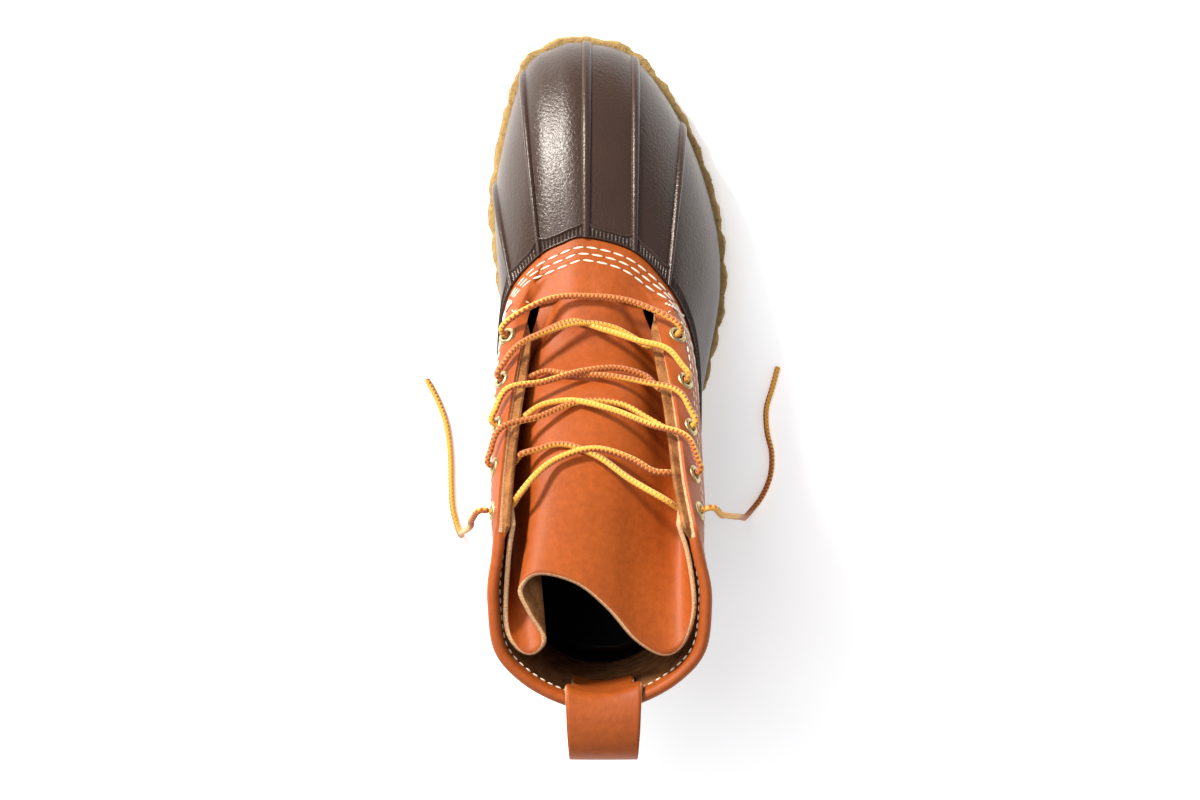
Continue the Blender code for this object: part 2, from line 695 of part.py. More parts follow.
def make_insole(material):
    """Flat insole on the rubber's floor."""
    positions = even_positions(2)
    inset = SOLE_LEDGE + RUBBER_WALL + INSOLE_MARGIN
    rings = []
    for lift in (SEAT_GAP, SEAT_GAP + INSOLE_THICKNESS):
        ring = []
        for u in positions:
            x, y = sole_outline(u) - outward(u) * inset
            ring.append(np.array([x, y, sole_top(y) + SEAT_GAP + RUBBER_WALL + lift]))
        rings.append(ring)
    points, faces = loft_rings(rings, caps=True)
    return mesh_object("insole", points, faces, material)


def leather_positions():
    """Positions round the leather, with the throat's and collar's corners among them."""
    corners = [row[0] for row in TOP_ROWS if row[-1]]
    plain = [u for u in even_positions(3) if min(abs(u - c) for c in corners) > 0.12]
    return sorted(plain + corners)


def off_vamp(u):
    """1 along the facings and the collar, 0 along the throat's edge on the vamp."""
    return smooth_step(u, OUTER_FACING[0], OUTER_FACING[0] + 0.5) * (
        1 - smooth_step(u, INNER_FACING[0] - 0.5, INNER_FACING[0])
    )


def on_collar(u):
    """1 along the collar, 0 along the facings and the throat."""
    return smooth_step(u, OUTER_FACING[1] - 0.05, OUTER_FACING[1] + 0.3) * (
        1 - smooth_step(u, INNER_FACING[1] - 0.3, INNER_FACING[1] + 0.05)
    )


@lru_cache(maxsize=None)
def doubled_share(u):
    """The w below which the leather is single: under the facing's stay or the collar's turned edge."""
    width = FACING_WIDTH + (COLLAR_TURN_IN - FACING_WIDTH) * on_collar(u)
    width = 5.0 + (width - 5.0) * off_vamp(u)
    low = share_above_rim(u, FLANGE_WIDTH + 2.0)
    return max(share_below_top(u, width), low)


def doubled_wall(u):
    """Thickness of the leather at its top line."""
    wall = FACING_WALL + (COLLAR_WALL - FACING_WALL) * on_collar(u)
    return LEATHER + (wall - LEATHER) * off_vamp(u)


def make_upper(material):
    """Leather shaft and vamp: one hollow wall, open at throat and collar, doubled along both."""
    positions = leather_positions()

    def ring(share, depth):
        return [offset_point(leather_surface, u, share(u), -depth(u)) for u in positions]

    def between(t):
        def share(u):
            low = share_above_rim(u, FLANGE_WIDTH)
            return low + (doubled_share(u) - low) * t
        return share

    def single(u):
        return LEATHER

    rings = [[at_rim(u, 0.0, SEAT_GAP) for u in positions]]
    for t in (0.0, 0.35, 0.7, 1.0):
        rings.append(ring(between(t), lambda u: 0.0))
    rings.append(ring(lambda u: 1.0, lambda u: 0.0))
    crest = []
    for u in positions:
        middle = (leather_surface(u, 1.0) + offset_point(leather_surface, u, 1.0, -doubled_wall(u))) / 2
        crest.append(middle + np.array([0.0, 0.0, on_collar(u)]))
    rings.append(crest)
    rings.append(ring(lambda u: 1.0, doubled_wall))
    rings.append(ring(doubled_share, doubled_wall))
    rings.append(ring(between(0.98), single))
    for t in (0.7, 0.35, 0.0):
        rings.append(ring(between(t), single))
    rings.append([at_rim(u, -LEATHER, SEAT_GAP) for u in positions])
    points, faces = loft_rings(rings, closed=True)
    return mesh_object("upper", points, faces, material)


@lru_cache(maxsize=None)
def facing_walk(facing):
    """A function from the length along a facing's edge to the position u, and its whole length."""
    us = np.linspace(facing[0], facing[1], 121)
    edge = np.array([top_line(u) for u in us])
    lengths = np.concatenate([[0.0], np.cumsum(np.linalg.norm(np.diff(edge, axis=0), axis=1))])
    return lambda distance: float(np.interp(distance, lengths, us)), lengths[-1]


@lru_cache(maxsize=None)
def beside_facing(facing, along, inset):
    """The u and w of the leather this far square to a facing's edge, at a length along the edge."""
    place, _ = facing_walk(facing)
    u, w = place(along), 1.0
    edge = unit(top_line(place(along + 0.5)) - top_line(place(along - 0.5)))
    count = max(1, round(abs(inset) / 2))
    step = 1e-3
    for _ in range(count):
        along_u = (leather_surface(u + step, w) - leather_surface(u - step, w)) / (2 * step)
        along_w = (leather_surface(u, w + step) - leather_surface(u, w - step)) / (2 * step)
        square = unit(np.cross(np.cross(along_u, along_w), edge))
        square = square if np.dot(square, along_w) < 0 else -square
        grid = np.stack([along_u, along_w], axis=1)
        move = np.linalg.lstsq(grid, square * inset / count, rcond=None)[0]
        u, w = u + move[0], w + move[1]
    return u, w


def along_facing(facing, row):
    """The length along a facing's edge at which an eyelet stands."""
    _, length = facing_walk(facing)
    return length * (OUTER_EYELETS if facing == OUTER_FACING else INNER_EYELETS)[row]


@lru_cache(maxsize=None)
def eyelet_places(facing):
    """Centre and outward normal of each eyelet of a facing, on the leather's outer face."""
    found = []
    for row in range(EYELET_ROWS):
        u, w = beside_facing(facing, along_facing(facing, row), EYELET_INSET)
        centre = leather_surface(u, w)
        normal = offset_point(leather_surface, u, w, 1.0) - centre
        found.append((centre, normal))
    return found


def turn_to(normal, centre):
    """Places something drawn round +Z so that it stands along the normal at the centre."""
    turned = Vector(normal).to_track_quat("Z", "Y").to_matrix().to_4x4()
    return Matrix.Translation(Vector(centre) * MM) @ turned


def make_eyelet(name, centre, normal, material):
    """Turned eyelet: a flange on the leather and a barrel through the facing."""
    depth = FACING_WALL
    profile = (
        (EYELET_FLANGE_RADIUS, SEAT_GAP),
        (EYELET_BARREL_RADIUS, SEAT_GAP),
        (EYELET_BARREL_RADIUS, -depth),
        (EYELET_BORE_RADIUS, -depth),
        (EYELET_BORE_RADIUS, SEAT_GAP + EYELET_FLANGE_THICKNESS),
        (EYELET_FLANGE_RADIUS - 0.8, SEAT_GAP + EYELET_FLANGE_THICKNESS),
    )
    bm = bmesh.new()
    verts = [bm.verts.new(Vector((r, 0, z)) * MM) for r, z in profile]
    edges = [bm.edges.new((verts[i], verts[(i + 1) % len(verts)])) for i in range(len(verts))]
    bmesh.ops.spin(bm, geom=verts + edges, cent=(0, 0, 0), axis=(0, 0, 1), angle=2 * math.pi,
                   steps=10, use_merge=True)
    bmesh.ops.remove_doubles(bm, verts=bm.verts, dist=1e-6)
    bmesh.ops.recalc_face_normals(bm, faces=bm.faces)
    mesh = bpy.data.meshes.new(name)
    bm.to_mesh(mesh)
    bm.free()
    mesh.shade_smooth()
    mesh.set_sharp_from_angle(angle=math.radians(40))
    mesh.materials.append(material)
    eyelet = bpy.data.objects.new(name, mesh)
    eyelet.matrix_world = turn_to(normal, centre)
    BOOT.objects.link(eyelet)
    return eyelet


def cut_eyelet_holes(name, places, *pieces):
    """Cuts the eyelets' holes through the leather."""
    bm = bmesh.new()
    radius = (EYELET_BARREL_RADIUS + EYELET_HOLE_CLEARANCE) * MM
    for centre, normal in places:
        bmesh.ops.create_cone(bm, cap_ends=True, segments=10, radius1=radius, radius2=radius,
                              depth=6 * LEATHER * MM,
                              matrix=turn_to(normal, centre - normal * LEATHER))
    mesh = bpy.data.meshes.new(name)
    bm.to_mesh(mesh)
    bm.free()
    cutter = bpy.data.objects.new(name, mesh)
    CUTTERS.objects.link(cutter)
    cutter.hide_render = True
    cutter.display_type = "WIRE"
    for piece in pieces:
        cut = piece.modifiers.new(name, "BOOLEAN")
        cut.operation = "DIFFERENCE"
        cut.object = cutter


def tongue_section_under_vamp(share, w):
    """A point of the tongue where it is sewn under the vamp: share runs across it from 0 to 1."""
    low, high = INNER_FACING[0] - STATIONS + 0.12, OUTER_FACING[0] - 0.12
    u = low + (high - low) * share
    return offset_point(leather_surface, u, w, -(LEATHER + SEAT_GAP + TONGUE_LEATHER / 2))


def facing_edge_height(y):
    """Height of the facings' edges over a place along the boot."""
    us = np.linspace(*OUTER_FACING, 40)
    edge = np.array([top_line(u) for u in us])
    order = np.argsort(edge[:, 1])
    return float(np.interp(y, edge[order, 1], edge[order, 2]))


@lru_cache(maxsize=None)
def tongue_keys(share):
    """The tongue's key points at a share across it: under the vamp, at the throat, the third eyelet and the top."""
    mid_x, mid_up, top_x, top_y, top_up = FOLDS(share)
    front = top_line(0.0)
    back = top_line(OUTER_FACING[1])
    slope = np.array([0.0, back[1] - front[1], back[2] - front[2]])
    slope = slope / np.linalg.norm(slope)
    up = np.array([0.0, slope[2], -slope[1]])
    middle = 0.5 * (top_line(4.0) + top_line(16.0))
    mid = np.array([mid_x * BALL_WIDTH, middle[1], middle[2]]) + up * mid_up * BALL_WIDTH
    lower = 0.5 * (top_line(2.4) + top_line(17.6))
    low_x = TONGUE_MIDDLE + (mid_x - TONGUE_MIDDLE) * 0.84
    low = np.array([low_x * BALL_WIDTH, lower[1], lower[2]]) + up * (mid_up * 0.62 - 0.035) * BALL_WIDTH
    collar = top_line(10.0)
    top = np.array([top_x * BALL_WIDTH, collar[1] + top_y * BALL_WIDTH,
                    COLLAR_HEIGHT + top_up * BALL_WIDTH])
    return [
        tongue_section_under_vamp(share, share_below_top(0.0, 8.0)),
        tongue_section_under_vamp(share, 1.0),
        low,
        mid,
        top,
    ]


TONGUE_KNOTS = (0.0, 0.07, 0.26, 0.52, 1.0)
TONGUE_MIDDLE = -0.035


def tongue_surface(share, along):
    """Middle of the tongue's leather: share across it, along from the vamp to its top edge."""
    return smooth_curve(TONGUE_KNOTS, tongue_keys(share))(along)


def make_tongue(material):
    """Bellows tongue: one sheet, folded into a pocket inside each facing."""
    shares = np.linspace(0.0, 1.0, 31)
    alongs = (0.0, 0.07, 0.17, 0.28, 0.40, 0.52, 0.68, 0.84, 1.0)
    step = 1e-3
    sections = []
    for along in alongs:
        front, back = [], []
        for share in shares:
            s0, s1 = max(share - step, 0.0), min(share + step, 1.0)
            a0, a1 = max(along - step, 0.0), min(along + step, 1.0)
            across = tongue_surface(s1, along) - tongue_surface(s0, along)
            length = tongue_surface(share, a1) - tongue_surface(share, a0)
            normal = np.cross(across, length)
            normal = normal / np.linalg.norm(normal)
            point = tongue_surface(share, along)
            front.append(point + normal * TONGUE_LEATHER / 2)
            back.append(point - normal * TONGUE_LEATHER / 2)
        sections.append(front + back[::-1])
    points, faces = loft_strip(sections)
    half = len(shares)
    faces = faces[:-2]
    for base, flip in ((0, False), ((len(alongs) - 1) * 2 * half, True)):
        for i in range(half - 1):
            face = (base + i, base + i + 1, base + 2 * half - 2 - i, base + 2 * half - 1 - i)
            faces.append(face if flip else tuple(reversed(face)))
    return mesh_object("tongue", points, faces, material)


def cord(name, path, material, resolution=2):
    """A round cord: a curve along a path in millimetres, with a bevel and filled caps."""
    curve = bpy.data.curves.new(name, "CURVE")
    curve.dimensions = "3D"
    curve.bevel_depth = LACE_DIAMETER / 2 * MM
    curve.bevel_resolution = resolution
    curve.use_fill_caps = True
    spline = curve.splines.new("POLY")
    spline.points.add(len(path) - 1)
    for point, place in zip(spline.points, path):
        point.co = (*(place * MM), 1.0)
    curve.materials.append(material)
    obj = bpy.data.objects.new(name, curve)
    BOOT.objects.link(obj)
    return obj


def made_mesh(cord_object, collection):
    """The cord as a closed mesh object, so that it can be joined; its curve is removed."""
    bpy.context.view_layer.update()
    name = cord_object.name
    graph = bpy.context.evaluated_depsgraph_get()
    mesh = bpy.data.meshes.new_from_object(cord_object.evaluated_get(graph))
    bm = bmesh.new()
    bm.from_mesh(mesh)
    bmesh.ops.remove_doubles(bm, verts=bm.verts, dist=0.01 * MM)
    bmesh.ops.triangulate(bm, faces=bm.faces)
    bm.to_mesh(mesh)
    bm.free()
    obj = bpy.data.objects.new(name + "_mesh", mesh)
    obj.matrix_world = cord_object.matrix_world
    collection.objects.link(obj)
    bpy.data.objects.remove(cord_object)
    obj.name = name
    return obj


def smooth_path(points, count, bend=0.0, bend_count=0):
    """Points by length along a smooth curve through the given ones, closer together in a first bend."""
    points = np.array(points, float)
    lengths = np.concatenate([[0.0], np.cumsum(np.linalg.norm(np.diff(points, axis=0), axis=1))])
    curve = smooth_curve(lengths, points)
    places = list(np.linspace(0, bend, bend_count, endpoint=False))
    places += list(np.linspace(bend, lengths[-1] - 1e-9, count))
    return [curve(d) for d in places]


def over_eyelet(facing, row):
    """Where the lace's middle passes over an eyelet."""
    centre, normal = eyelet_places(facing)[row]
    return centre + normal * LACE_OVER_EYELET


def over_edge(facing, row):
    """Where the lace's middle passes over the facing's edge, well ahead of the eyelet it goes to."""
    place = beside_facing(facing, along_facing(facing, row) - 12.0, 1.0)
    return offset_point(leather_surface, *place, LACE_OVER_EDGE)


def to_eyelet(facing, row):
    """Where the lace's middle lies on the facing between its edge and an eyelet."""
    place = beside_facing(facing, along_facing(facing, row) - 5.5, 4.5)
    return offset_point(leather_surface, *place, LACE_TO_EYELET)


def from_under_edge(facing, row, top=False):
    """Where the lace comes out from under a facing, on its way from an eyelet or to the top one."""
    leaving = OUTER_LEAVING if facing == OUTER_FACING else INNER_LEAVING
    along = along_facing(facing, row) + (TOP_LEAVING if top else leaving)
    place = beside_facing(facing, along, -LACE_UNDER_FACING)
    return offset_point(leather_surface, *place, -(LACE_TOP_DEPTH if top else LACE_DEPTH))


def make_lace_bar(material):
    """The straight first bar, over both facings ahead of the lowest eyelets."""
    inner, outer = over_eyelet(INNER_FACING, 0), over_eyelet(OUTER_FACING, 0)
    path = [inner]
    for share, arch in zip((0.25, 0.5, 0.75), BAR_ARCHES):
        point = inner + (outer - inner) * share
        path.append(point + np.array([0.0, arch, 1.2 - BAR_SLOPE * arch]))
    path.append(outer)
    return cord("lace_bar", smooth_path(path, 11), material, LACE_SIDE_COUNT)


def make_lace_crossing(row, material):
    """One crossing: two lengths of lace, each from under a facing over the other one."""
    strands = []
    for start, end in ((INNER_FACING, OUTER_FACING), (OUTER_FACING, INNER_FACING)):
        low = from_under_edge(start, row)
        last = row == EYELET_ROWS - 2
        high = from_under_edge(end, row + 1, True) if last else over_edge(end, row + 1)
        finish = [] if last else [to_eyelet(end, row + 1), over_eyelet(end, row + 1)]
        arches = CROSSING_ARCHES[row][0 if start == INNER_FACING else 1]
        way = []
        for share, arch in zip(ARCH_SHARES, arches):
            rise = CROSSING_REST * 4 * share * (1 - share) - CROSSING_SLOPE * arch
            way.append(low + (high - low) * share + np.array([0.0, arch, rise]))
        strands.append([low, *way, high] + finish)
    names = (f"lace_crossing_{row + 1}", f"lace_strand_{row + 1}")
    cords = [
        cord(name, smooth_path(strand, 10), material, LACE_SIDE_COUNT)
        for name, strand in zip(names, strands)
    ]
    first, second = made_mesh(cords[0], BOOT), made_mesh(cords[1], CUTTERS)
    second.hide_render = True
    second.display_type = "WIRE"
    join = first.modifiers.new("join", "BOOLEAN")
    join.operation = "UNION"
    join.object = second
    return first


def lace_end_path(facing, rows, side):
    """The middle of a free lace end, in millimetres, from just outside its eyelet."""
    centre, normal = eyelet_places(facing)[EYELET_ROWS - 1]
    path = [centre + normal * 1.9, centre + normal * 5.0]
    for away, ahead, height in rows:
        path.append(np.array([centre[0] + side * away, centre[1] + ahead, height]))
    return path


def make_pull_loop(material):
    """Strap sewn inside the collar's back, over it in a loop and down the outside."""
    half = LOOP_THICKNESS / 2
    steps = (-1.0, -0.5, 0.0, 0.5, 1.0)

    def on_wall(inset, depth, turned=1):
        """A section that lies along the wall; turned is -1 where the strap runs down."""
        section = []
        for face in (-1, 1):
            for step in steps[::face]:
                u = 10.0 - (LOOP_SIDE + LOOP_WIDTH / 2 * step) / HEEL_STATION_WIDTH
                share = share_below_top(u, inset)
                section.append(offset_point(leather_surface, u, share, depth + turned * face * half))
        return section

    inside = -(LEATHER + WALL_CLEARANCE + half)
    under_turn = -(COLLAR_WALL + WALL_CLEARANCE + half)
    sections = [
        on_wall(LOOP_DEPTH_INSIDE, inside),
        on_wall(LOOP_DEPTH_INSIDE * 0.6, inside - 0.6),
        on_wall(COLLAR_TURN_IN + 1.0, under_turn),
    ]
    back = top_line(10.0)
    free = [(back[1] - behind, back[2] + up, width, bow) for behind, up, width, bow in LOOP_ROWS]
    line = smooth_path(free, LOOP_SECTION_COUNT)
    for i, (y, z, width, bow) in enumerate(line):
        before, after = line[max(i - 1, 0)], line[min(i + 1, len(line) - 1)]
        along = unit(np.array([after[0] - before[0], after[1] - before[1]]))
        thick = np.array([0.0, along[1], -along[0]]) * half
        section = []
        for face in (-1, 1):
            for step in steps[::face]:
                x = LOOP_SIDE + LOOP_WIDTH / 2 * width * step
                sag = bow * WALL_BOW * (x / (LOOP_WIDTH / 2)) ** 2
                section.append(np.array([x, y + sag, z]) - thick * face)
        sections.append(section)
    outside = WALL_CLEARANCE + half
    sections += [on_wall(LOOP_DEPTH_OUTSIDE * share, outside, -1) for share in (0.84, 1.0)]
    points, faces = loft_strip(sections)
    return mesh_object("pull_loop", points, faces, material)


def stand_in_frame():
    """Moves the boot so that the middle of its box stands over the origin; the lace ends are left out."""
    bpy.context.view_layer.update()
    corners = []
    for obj in BOOT.objects:
        if not obj.name.startswith("lace_end"):
            corners += [obj.matrix_world @ Vector(c) for c in obj.bound_box]
    low = Vector(min(c[i] for c in corners) for i in range(3))
    high = Vector(max(c[i] for c in corners) for i in range(3))
    shift = Vector((-(low.x + high.x) / 2, -(low.y + high.y) / 2, -low.z))
    for obj in list(BOOT.objects) + list(CUTTERS.objects):
        obj.matrix_world = Matrix.Translation(shift) @ obj.matrix_world
    print("shift", tuple(round(v / MM, 4) for v in shift))


def make_material(name, colour, roughness, metallic=0.0):
    """A Principled BSDF with the piece's colour."""
    material = bpy.data.materials.new(name)
    material.use_nodes = True
    shader = material.node_tree.nodes["Principled BSDF"]
    shader.inputs["Base Color"].default_value = (*colour, 1.0)
    shader.inputs["Roughness"].default_value = roughness
    shader.inputs["Metallic"].default_value = metallic
    return material


def main():
    brown_rubber = make_material("brown_rubber", (0.075, 0.045, 0.034), 0.45)
    tan_rubber = make_material("tan_rubber", (0.56, 0.38, 0.15), 0.8)
    tan_leather = make_material("tan_leather", (0.60, 0.18, 0.04), 0.55)
    brass = make_material("brass", (0.62, 0.50, 0.27), 0.35, 1.0)
    yellow_cord = make_material("yellow_cord", (0.86, 0.42, 0.05), 0.7)
    black_felt = make_material("black_felt", (0.02, 0.018, 0.016), 0.95)

    make_outsole(tan_rubber)
    make_rubber_bottom(brown_rubber)
    make_insole(black_felt)
    upper = make_upper(tan_leather)
    for side, facing in (("outer", OUTER_FACING), ("inner", INNER_FACING)):
        places = eyelet_places(facing)
        cut_eyelet_holes(f"holes_{side}", places, upper)
        for row, (centre, normal) in enumerate(places, 1):
            make_eyelet(f"eyelet_{side}_{row}", centre, normal, brass)
    make_tongue(tan_leather)
    make_pull_loop(tan_leather)
    make_lace_bar(yellow_cord)
    for row in range(EYELET_ROWS - 1):
        make_lace_crossing(row, yellow_cord)
    for side, facing, rows, way in (
        ("outer", OUTER_FACING, LACE_END_OUTER, 1),
        ("inner", INNER_FACING, LACE_END_INNER, -1),
    ):
        path = smooth_path(lace_end_path(facing, rows, way), 20, LACE_BEND, 8)
        cord(f"lace_end_{side}", path, yellow_cord)
    stand_in_frame()


for old in list(bpy.data.objects):
    bpy.data.objects.remove(old)
BOOT = bpy.data.collections.new("duck_boot")
CUTTERS = bpy.data.collections.new("cutters")
bpy.context.scene.collection.children.link(BOOT)
bpy.context.scene.collection.children.link(CUTTERS)
main()
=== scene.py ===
import math

import bmesh
import bpy
import numpy as np
from bpy.props import FloatProperty, FloatVectorProperty, IntProperty, PointerProperty
from bpy.types import Operator, Panel, PropertyGroup
from mathutils import Matrix, Vector


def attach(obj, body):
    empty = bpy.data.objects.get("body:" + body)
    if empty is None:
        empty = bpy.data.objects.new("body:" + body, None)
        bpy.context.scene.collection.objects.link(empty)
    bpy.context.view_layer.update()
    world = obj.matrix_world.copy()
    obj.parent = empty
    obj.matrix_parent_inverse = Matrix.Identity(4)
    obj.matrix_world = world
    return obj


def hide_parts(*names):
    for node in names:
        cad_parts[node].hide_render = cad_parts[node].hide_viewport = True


bl_info = {
    "name": "Duck Boot",
    "version": (1, 0, 0),
    "blender": (4, 5, 0),
    "location": "3D View > Sidebar > Duck Boot",
    "description": "Right duck boot with a moulded rubber bottom, leather shaft, bellows tongue "
                   "and braided lace",
    "category": "Add Mesh",
}

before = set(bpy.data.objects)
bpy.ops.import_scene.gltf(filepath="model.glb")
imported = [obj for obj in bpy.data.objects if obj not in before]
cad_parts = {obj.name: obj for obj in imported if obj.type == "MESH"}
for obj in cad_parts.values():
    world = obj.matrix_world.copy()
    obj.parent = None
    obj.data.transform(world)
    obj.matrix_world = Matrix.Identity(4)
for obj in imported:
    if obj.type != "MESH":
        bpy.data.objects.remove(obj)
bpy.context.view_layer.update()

MM = 0.001
FRAME_SHIFT = np.array([-3.8013, -139.1584, 0.0])

# Sizes of the boot in millimetres. Those that the solids have too are the same there, except that
# the toe ribs are 4.6 mm wide here and 4.4 mm there. Each table's comment says what it holds.
BOOT_LENGTH = 303.0
BALL_WIDTH = 115.0
RIM_HEIGHT = 78.0
COLLAR_HEIGHT = 165.0
HEEL_THICKNESS = 15.0
BALL_THICKNESS = 11.0
TOE_THICKNESS = 9.0
TOE_SPRING = 12.0
ARCH_LIFT = 3.5
SOLE_LEDGE = 4.0
SCALLOPS = 44
TREAD_INSET = 3.4
TREAD_PITCH = 17.0
TREAD_WAVE = 5.0
RUBBER_WALL = 3.0
RIB_WIDTH = 4.6
LEATHER = 2.2
COLLAR_TURN_IN = 6.0
FACING_WIDTH = 15.0
TONGUE_LEATHER = 2.0
INSOLE_MARGIN = 3.2
SEAT_GAP = 0.3
EYELET_ROWS = 5
EYELET_INSET = 8.0
EYELET_HOLE = 2.6
WALL_REACH = 7.0
EYELET_PROFILE = (
    (2.9, -0.4), (2.9, -4.6), (2.2, -4.6), (2.2, 0.2), (2.35, 0.85), (2.8, 1.2),
    (3.4, 1.2), (3.95, 0.95), (4.25, 0.5), (4.25, -0.4),
)
RUBBER_SHELL = 2.6
LACE_DIAMETER = 3.0
LACE_OVER_EYELET = 3.3
LACE_OVER_EDGE = 4.3
LACE_TO_EYELET = 3.9
LACE_BEND = 24.0
LACE_YARNS = 4.0
LACE_TURN = 0.0054
FREE_END_PATTERN = 700.0
BAR_SLOPE = 0.4
BAR_RISE = 1.2
BAR_START = 0.4
CROSSING_SLOPE = 0.8
CROSSING_REST = 1.5
LOOP_WIDTH = 32.0
LOOP_THICKNESS = 2.4
LOOP_DEPTH_INSIDE = 27.0
LOOP_DEPTH_OUTSIDE = 46.0
LOOP_SIDE = 1.5
HEEL_STATION_WIDTH = 35.0
WALL_BOW = 3.4
WALL_CLEARANCE = 0.5
COLLAR_WALL = 4.2

# The outsole's edge, up from the tread: inset and height over the bottom, then inset, height over
# the top, waviness and share of the scallops.
EDGE_BOTTOM = ((2.6, 0.0), (1.2, 0.2), (0.4, 0.9), (0.0, 2.0))
EDGE_TOP = (
    (0.0, -1.8, 0.0, 1.0), (0.25, -0.8, 0.0, 1.0), (0.9, -0.15, 0.0, 1.0), (1.8, 0.0, 0.1, 1.0),
    (2.8, 0.0, 0.15, 1.0), (3.6, 0.0, 0.1, 0.3), (5.0, -0.2, 0.0, 0.0),
)

# The loop's free part: back from the collar's back edge, up from it, width share, bow share.
LOOP_ROWS = (
    (-7.3, -2.0, 1.00, 1.10),
    (-6.3, 2.8, 1.00, 1.05),
    (-0.5, 6.0, 0.99, 0.80),
    (8.0, 6.2, 0.96, 0.35),
    (16.0, 2.6, 0.92, 0.10),
    (20.0, -5.5, 0.90, 0.05),
    (18.6, -15.0, 0.92, 0.15),
    (12.5, -24.0, 0.96, 0.50),
    (6.2, -31.5, 1.00, 0.90),
)

# Free lace ends from the top eyelets to the floor: to the side, ahead, height.
LACE_END_OUTER = (
    (9.7, -1.9, 144.0), (11.7, -2.7, 130.0), (17.2, -4.9, 98.0), (21.4, -6.5, 66.0),
    (25.6, -8.3, 30.0), (29.6, -8.0, 7.0), (33.8, -3.4, 1.5), (38.8, 4.2, 1.5),
    (41.2, 14.6, 1.5), (41.0, 24.2, 1.5), (38.8, 33.2, 1.5), (38.6, 42.2, 1.5),
    (41.0, 51.0, 1.5), (44.4, 63.7, 1.5),
)
LACE_END_INNER = (
    (9.4, -3.6, 144.0), (10.5, -6.6, 130.0), (14.5, -10.8, 98.0), (17.9, -13.2, 66.0),
    (20.7, -15.6, 30.0), (22.5, -17.1, 7.0), (23.9, -14.9, 1.5), (25.9, -7.5, 1.5),
    (26.9, 3.1, 1.5), (27.1, 14.1, 1.5), (27.7, 24.7, 1.5), (29.5, 36.1, 1.5),
    (34.1, 48.5, 1.5), (39.1, 57.9, 1.5),
)

# Eyelets along each facing as shares of its length, how far after its eyelet the lace comes out
# from under a facing, and the first bar's sag towards the toe at its quarters.
OUTER_EYELETS = (0.158, 0.363, 0.561, 0.759, 0.909)
INNER_EYELETS = (0.167, 0.358, 0.553, 0.728, 0.907)
OUTER_LEAVING = 0.5
INNER_LEAVING = -4.0
TOP_LEAVING = -3.0
BAR_SHARES = (0.25, 0.5, 0.75)
BAR_ARCHES = (15.0, 16.4, 13.2)

# A strand beside an eyelet. On the eyelet's axis, as heights over the leather's face: where it
# starts, where it is behind the wall, the same at the top, out of the top, and a free end's first
# points. Behind a facing: inset from the edge and height. Over the edge and near the eyelet: the
# way along the edge from the eyelet, and inset; last, how far short of the eyelet's middle it ends.
STRAND_START, STRAND_DOWN, STRAND_UP, STRAND_OUT = 0.4, -4.4, -4.6, 2.2
FREE_END_HEIGHTS = (1.9, 5.0)
BEHIND_FACING = (3.6, -7.0)
BEHIND_TOP = (3.4, -7.0)
OVER_EDGE = (-12.0, 1.0)
TO_EYELET = (-5.5, 4.5)
SHORT_OF_EYELET = 0.6

# Where the lace passes below a facing's flesh-side band: inset from the edge (negative is over the
# opening) and height, for each row and the top, at the inner facing and at the outer one.
BELOW_BAND = (
    ((-5.5, -2.4), (-3.5, -6.4), (-3.5, -6.4), (-4.5, -6.4), (-4.5, -6.6)),
    ((-6.5, -5.4), (-1.5, -7.4), (-2.1, -6.4), (-1.5, -6.4), (-5.5, -7.6)),
)

# How far a crossing's strands sag towards the toe at each share of the way, from the inner facing
# and from the outer one, from the lowest crossing up, and how high each passes over the other.
ARCH_SHARES = (0.10, 0.25, 0.50, 0.75)
CROSSING_ARCHES = (
    ((3.8, 8.5, 6.5, 3.2), (3.9, 8.7, 11.1, 7.7)),
    ((3.4, 3.5, 4.7, 3.6), (5.7, 9.3, 8.6, 4.2)),
    ((5.9, 9.6, 9.0, 4.7), (4.2, 10.6, 12.6, 6.5)),
    ((3.9, 9.3, 9.8, 4.1), (1.6, 8.3, 15.4, 13.4)),
)
PASSING_OVER = (0.2, 1.1, 2.4, 1.8)

STATIONS = 20
RIB_STATIONS = (0, 1, 2, 17, 18)

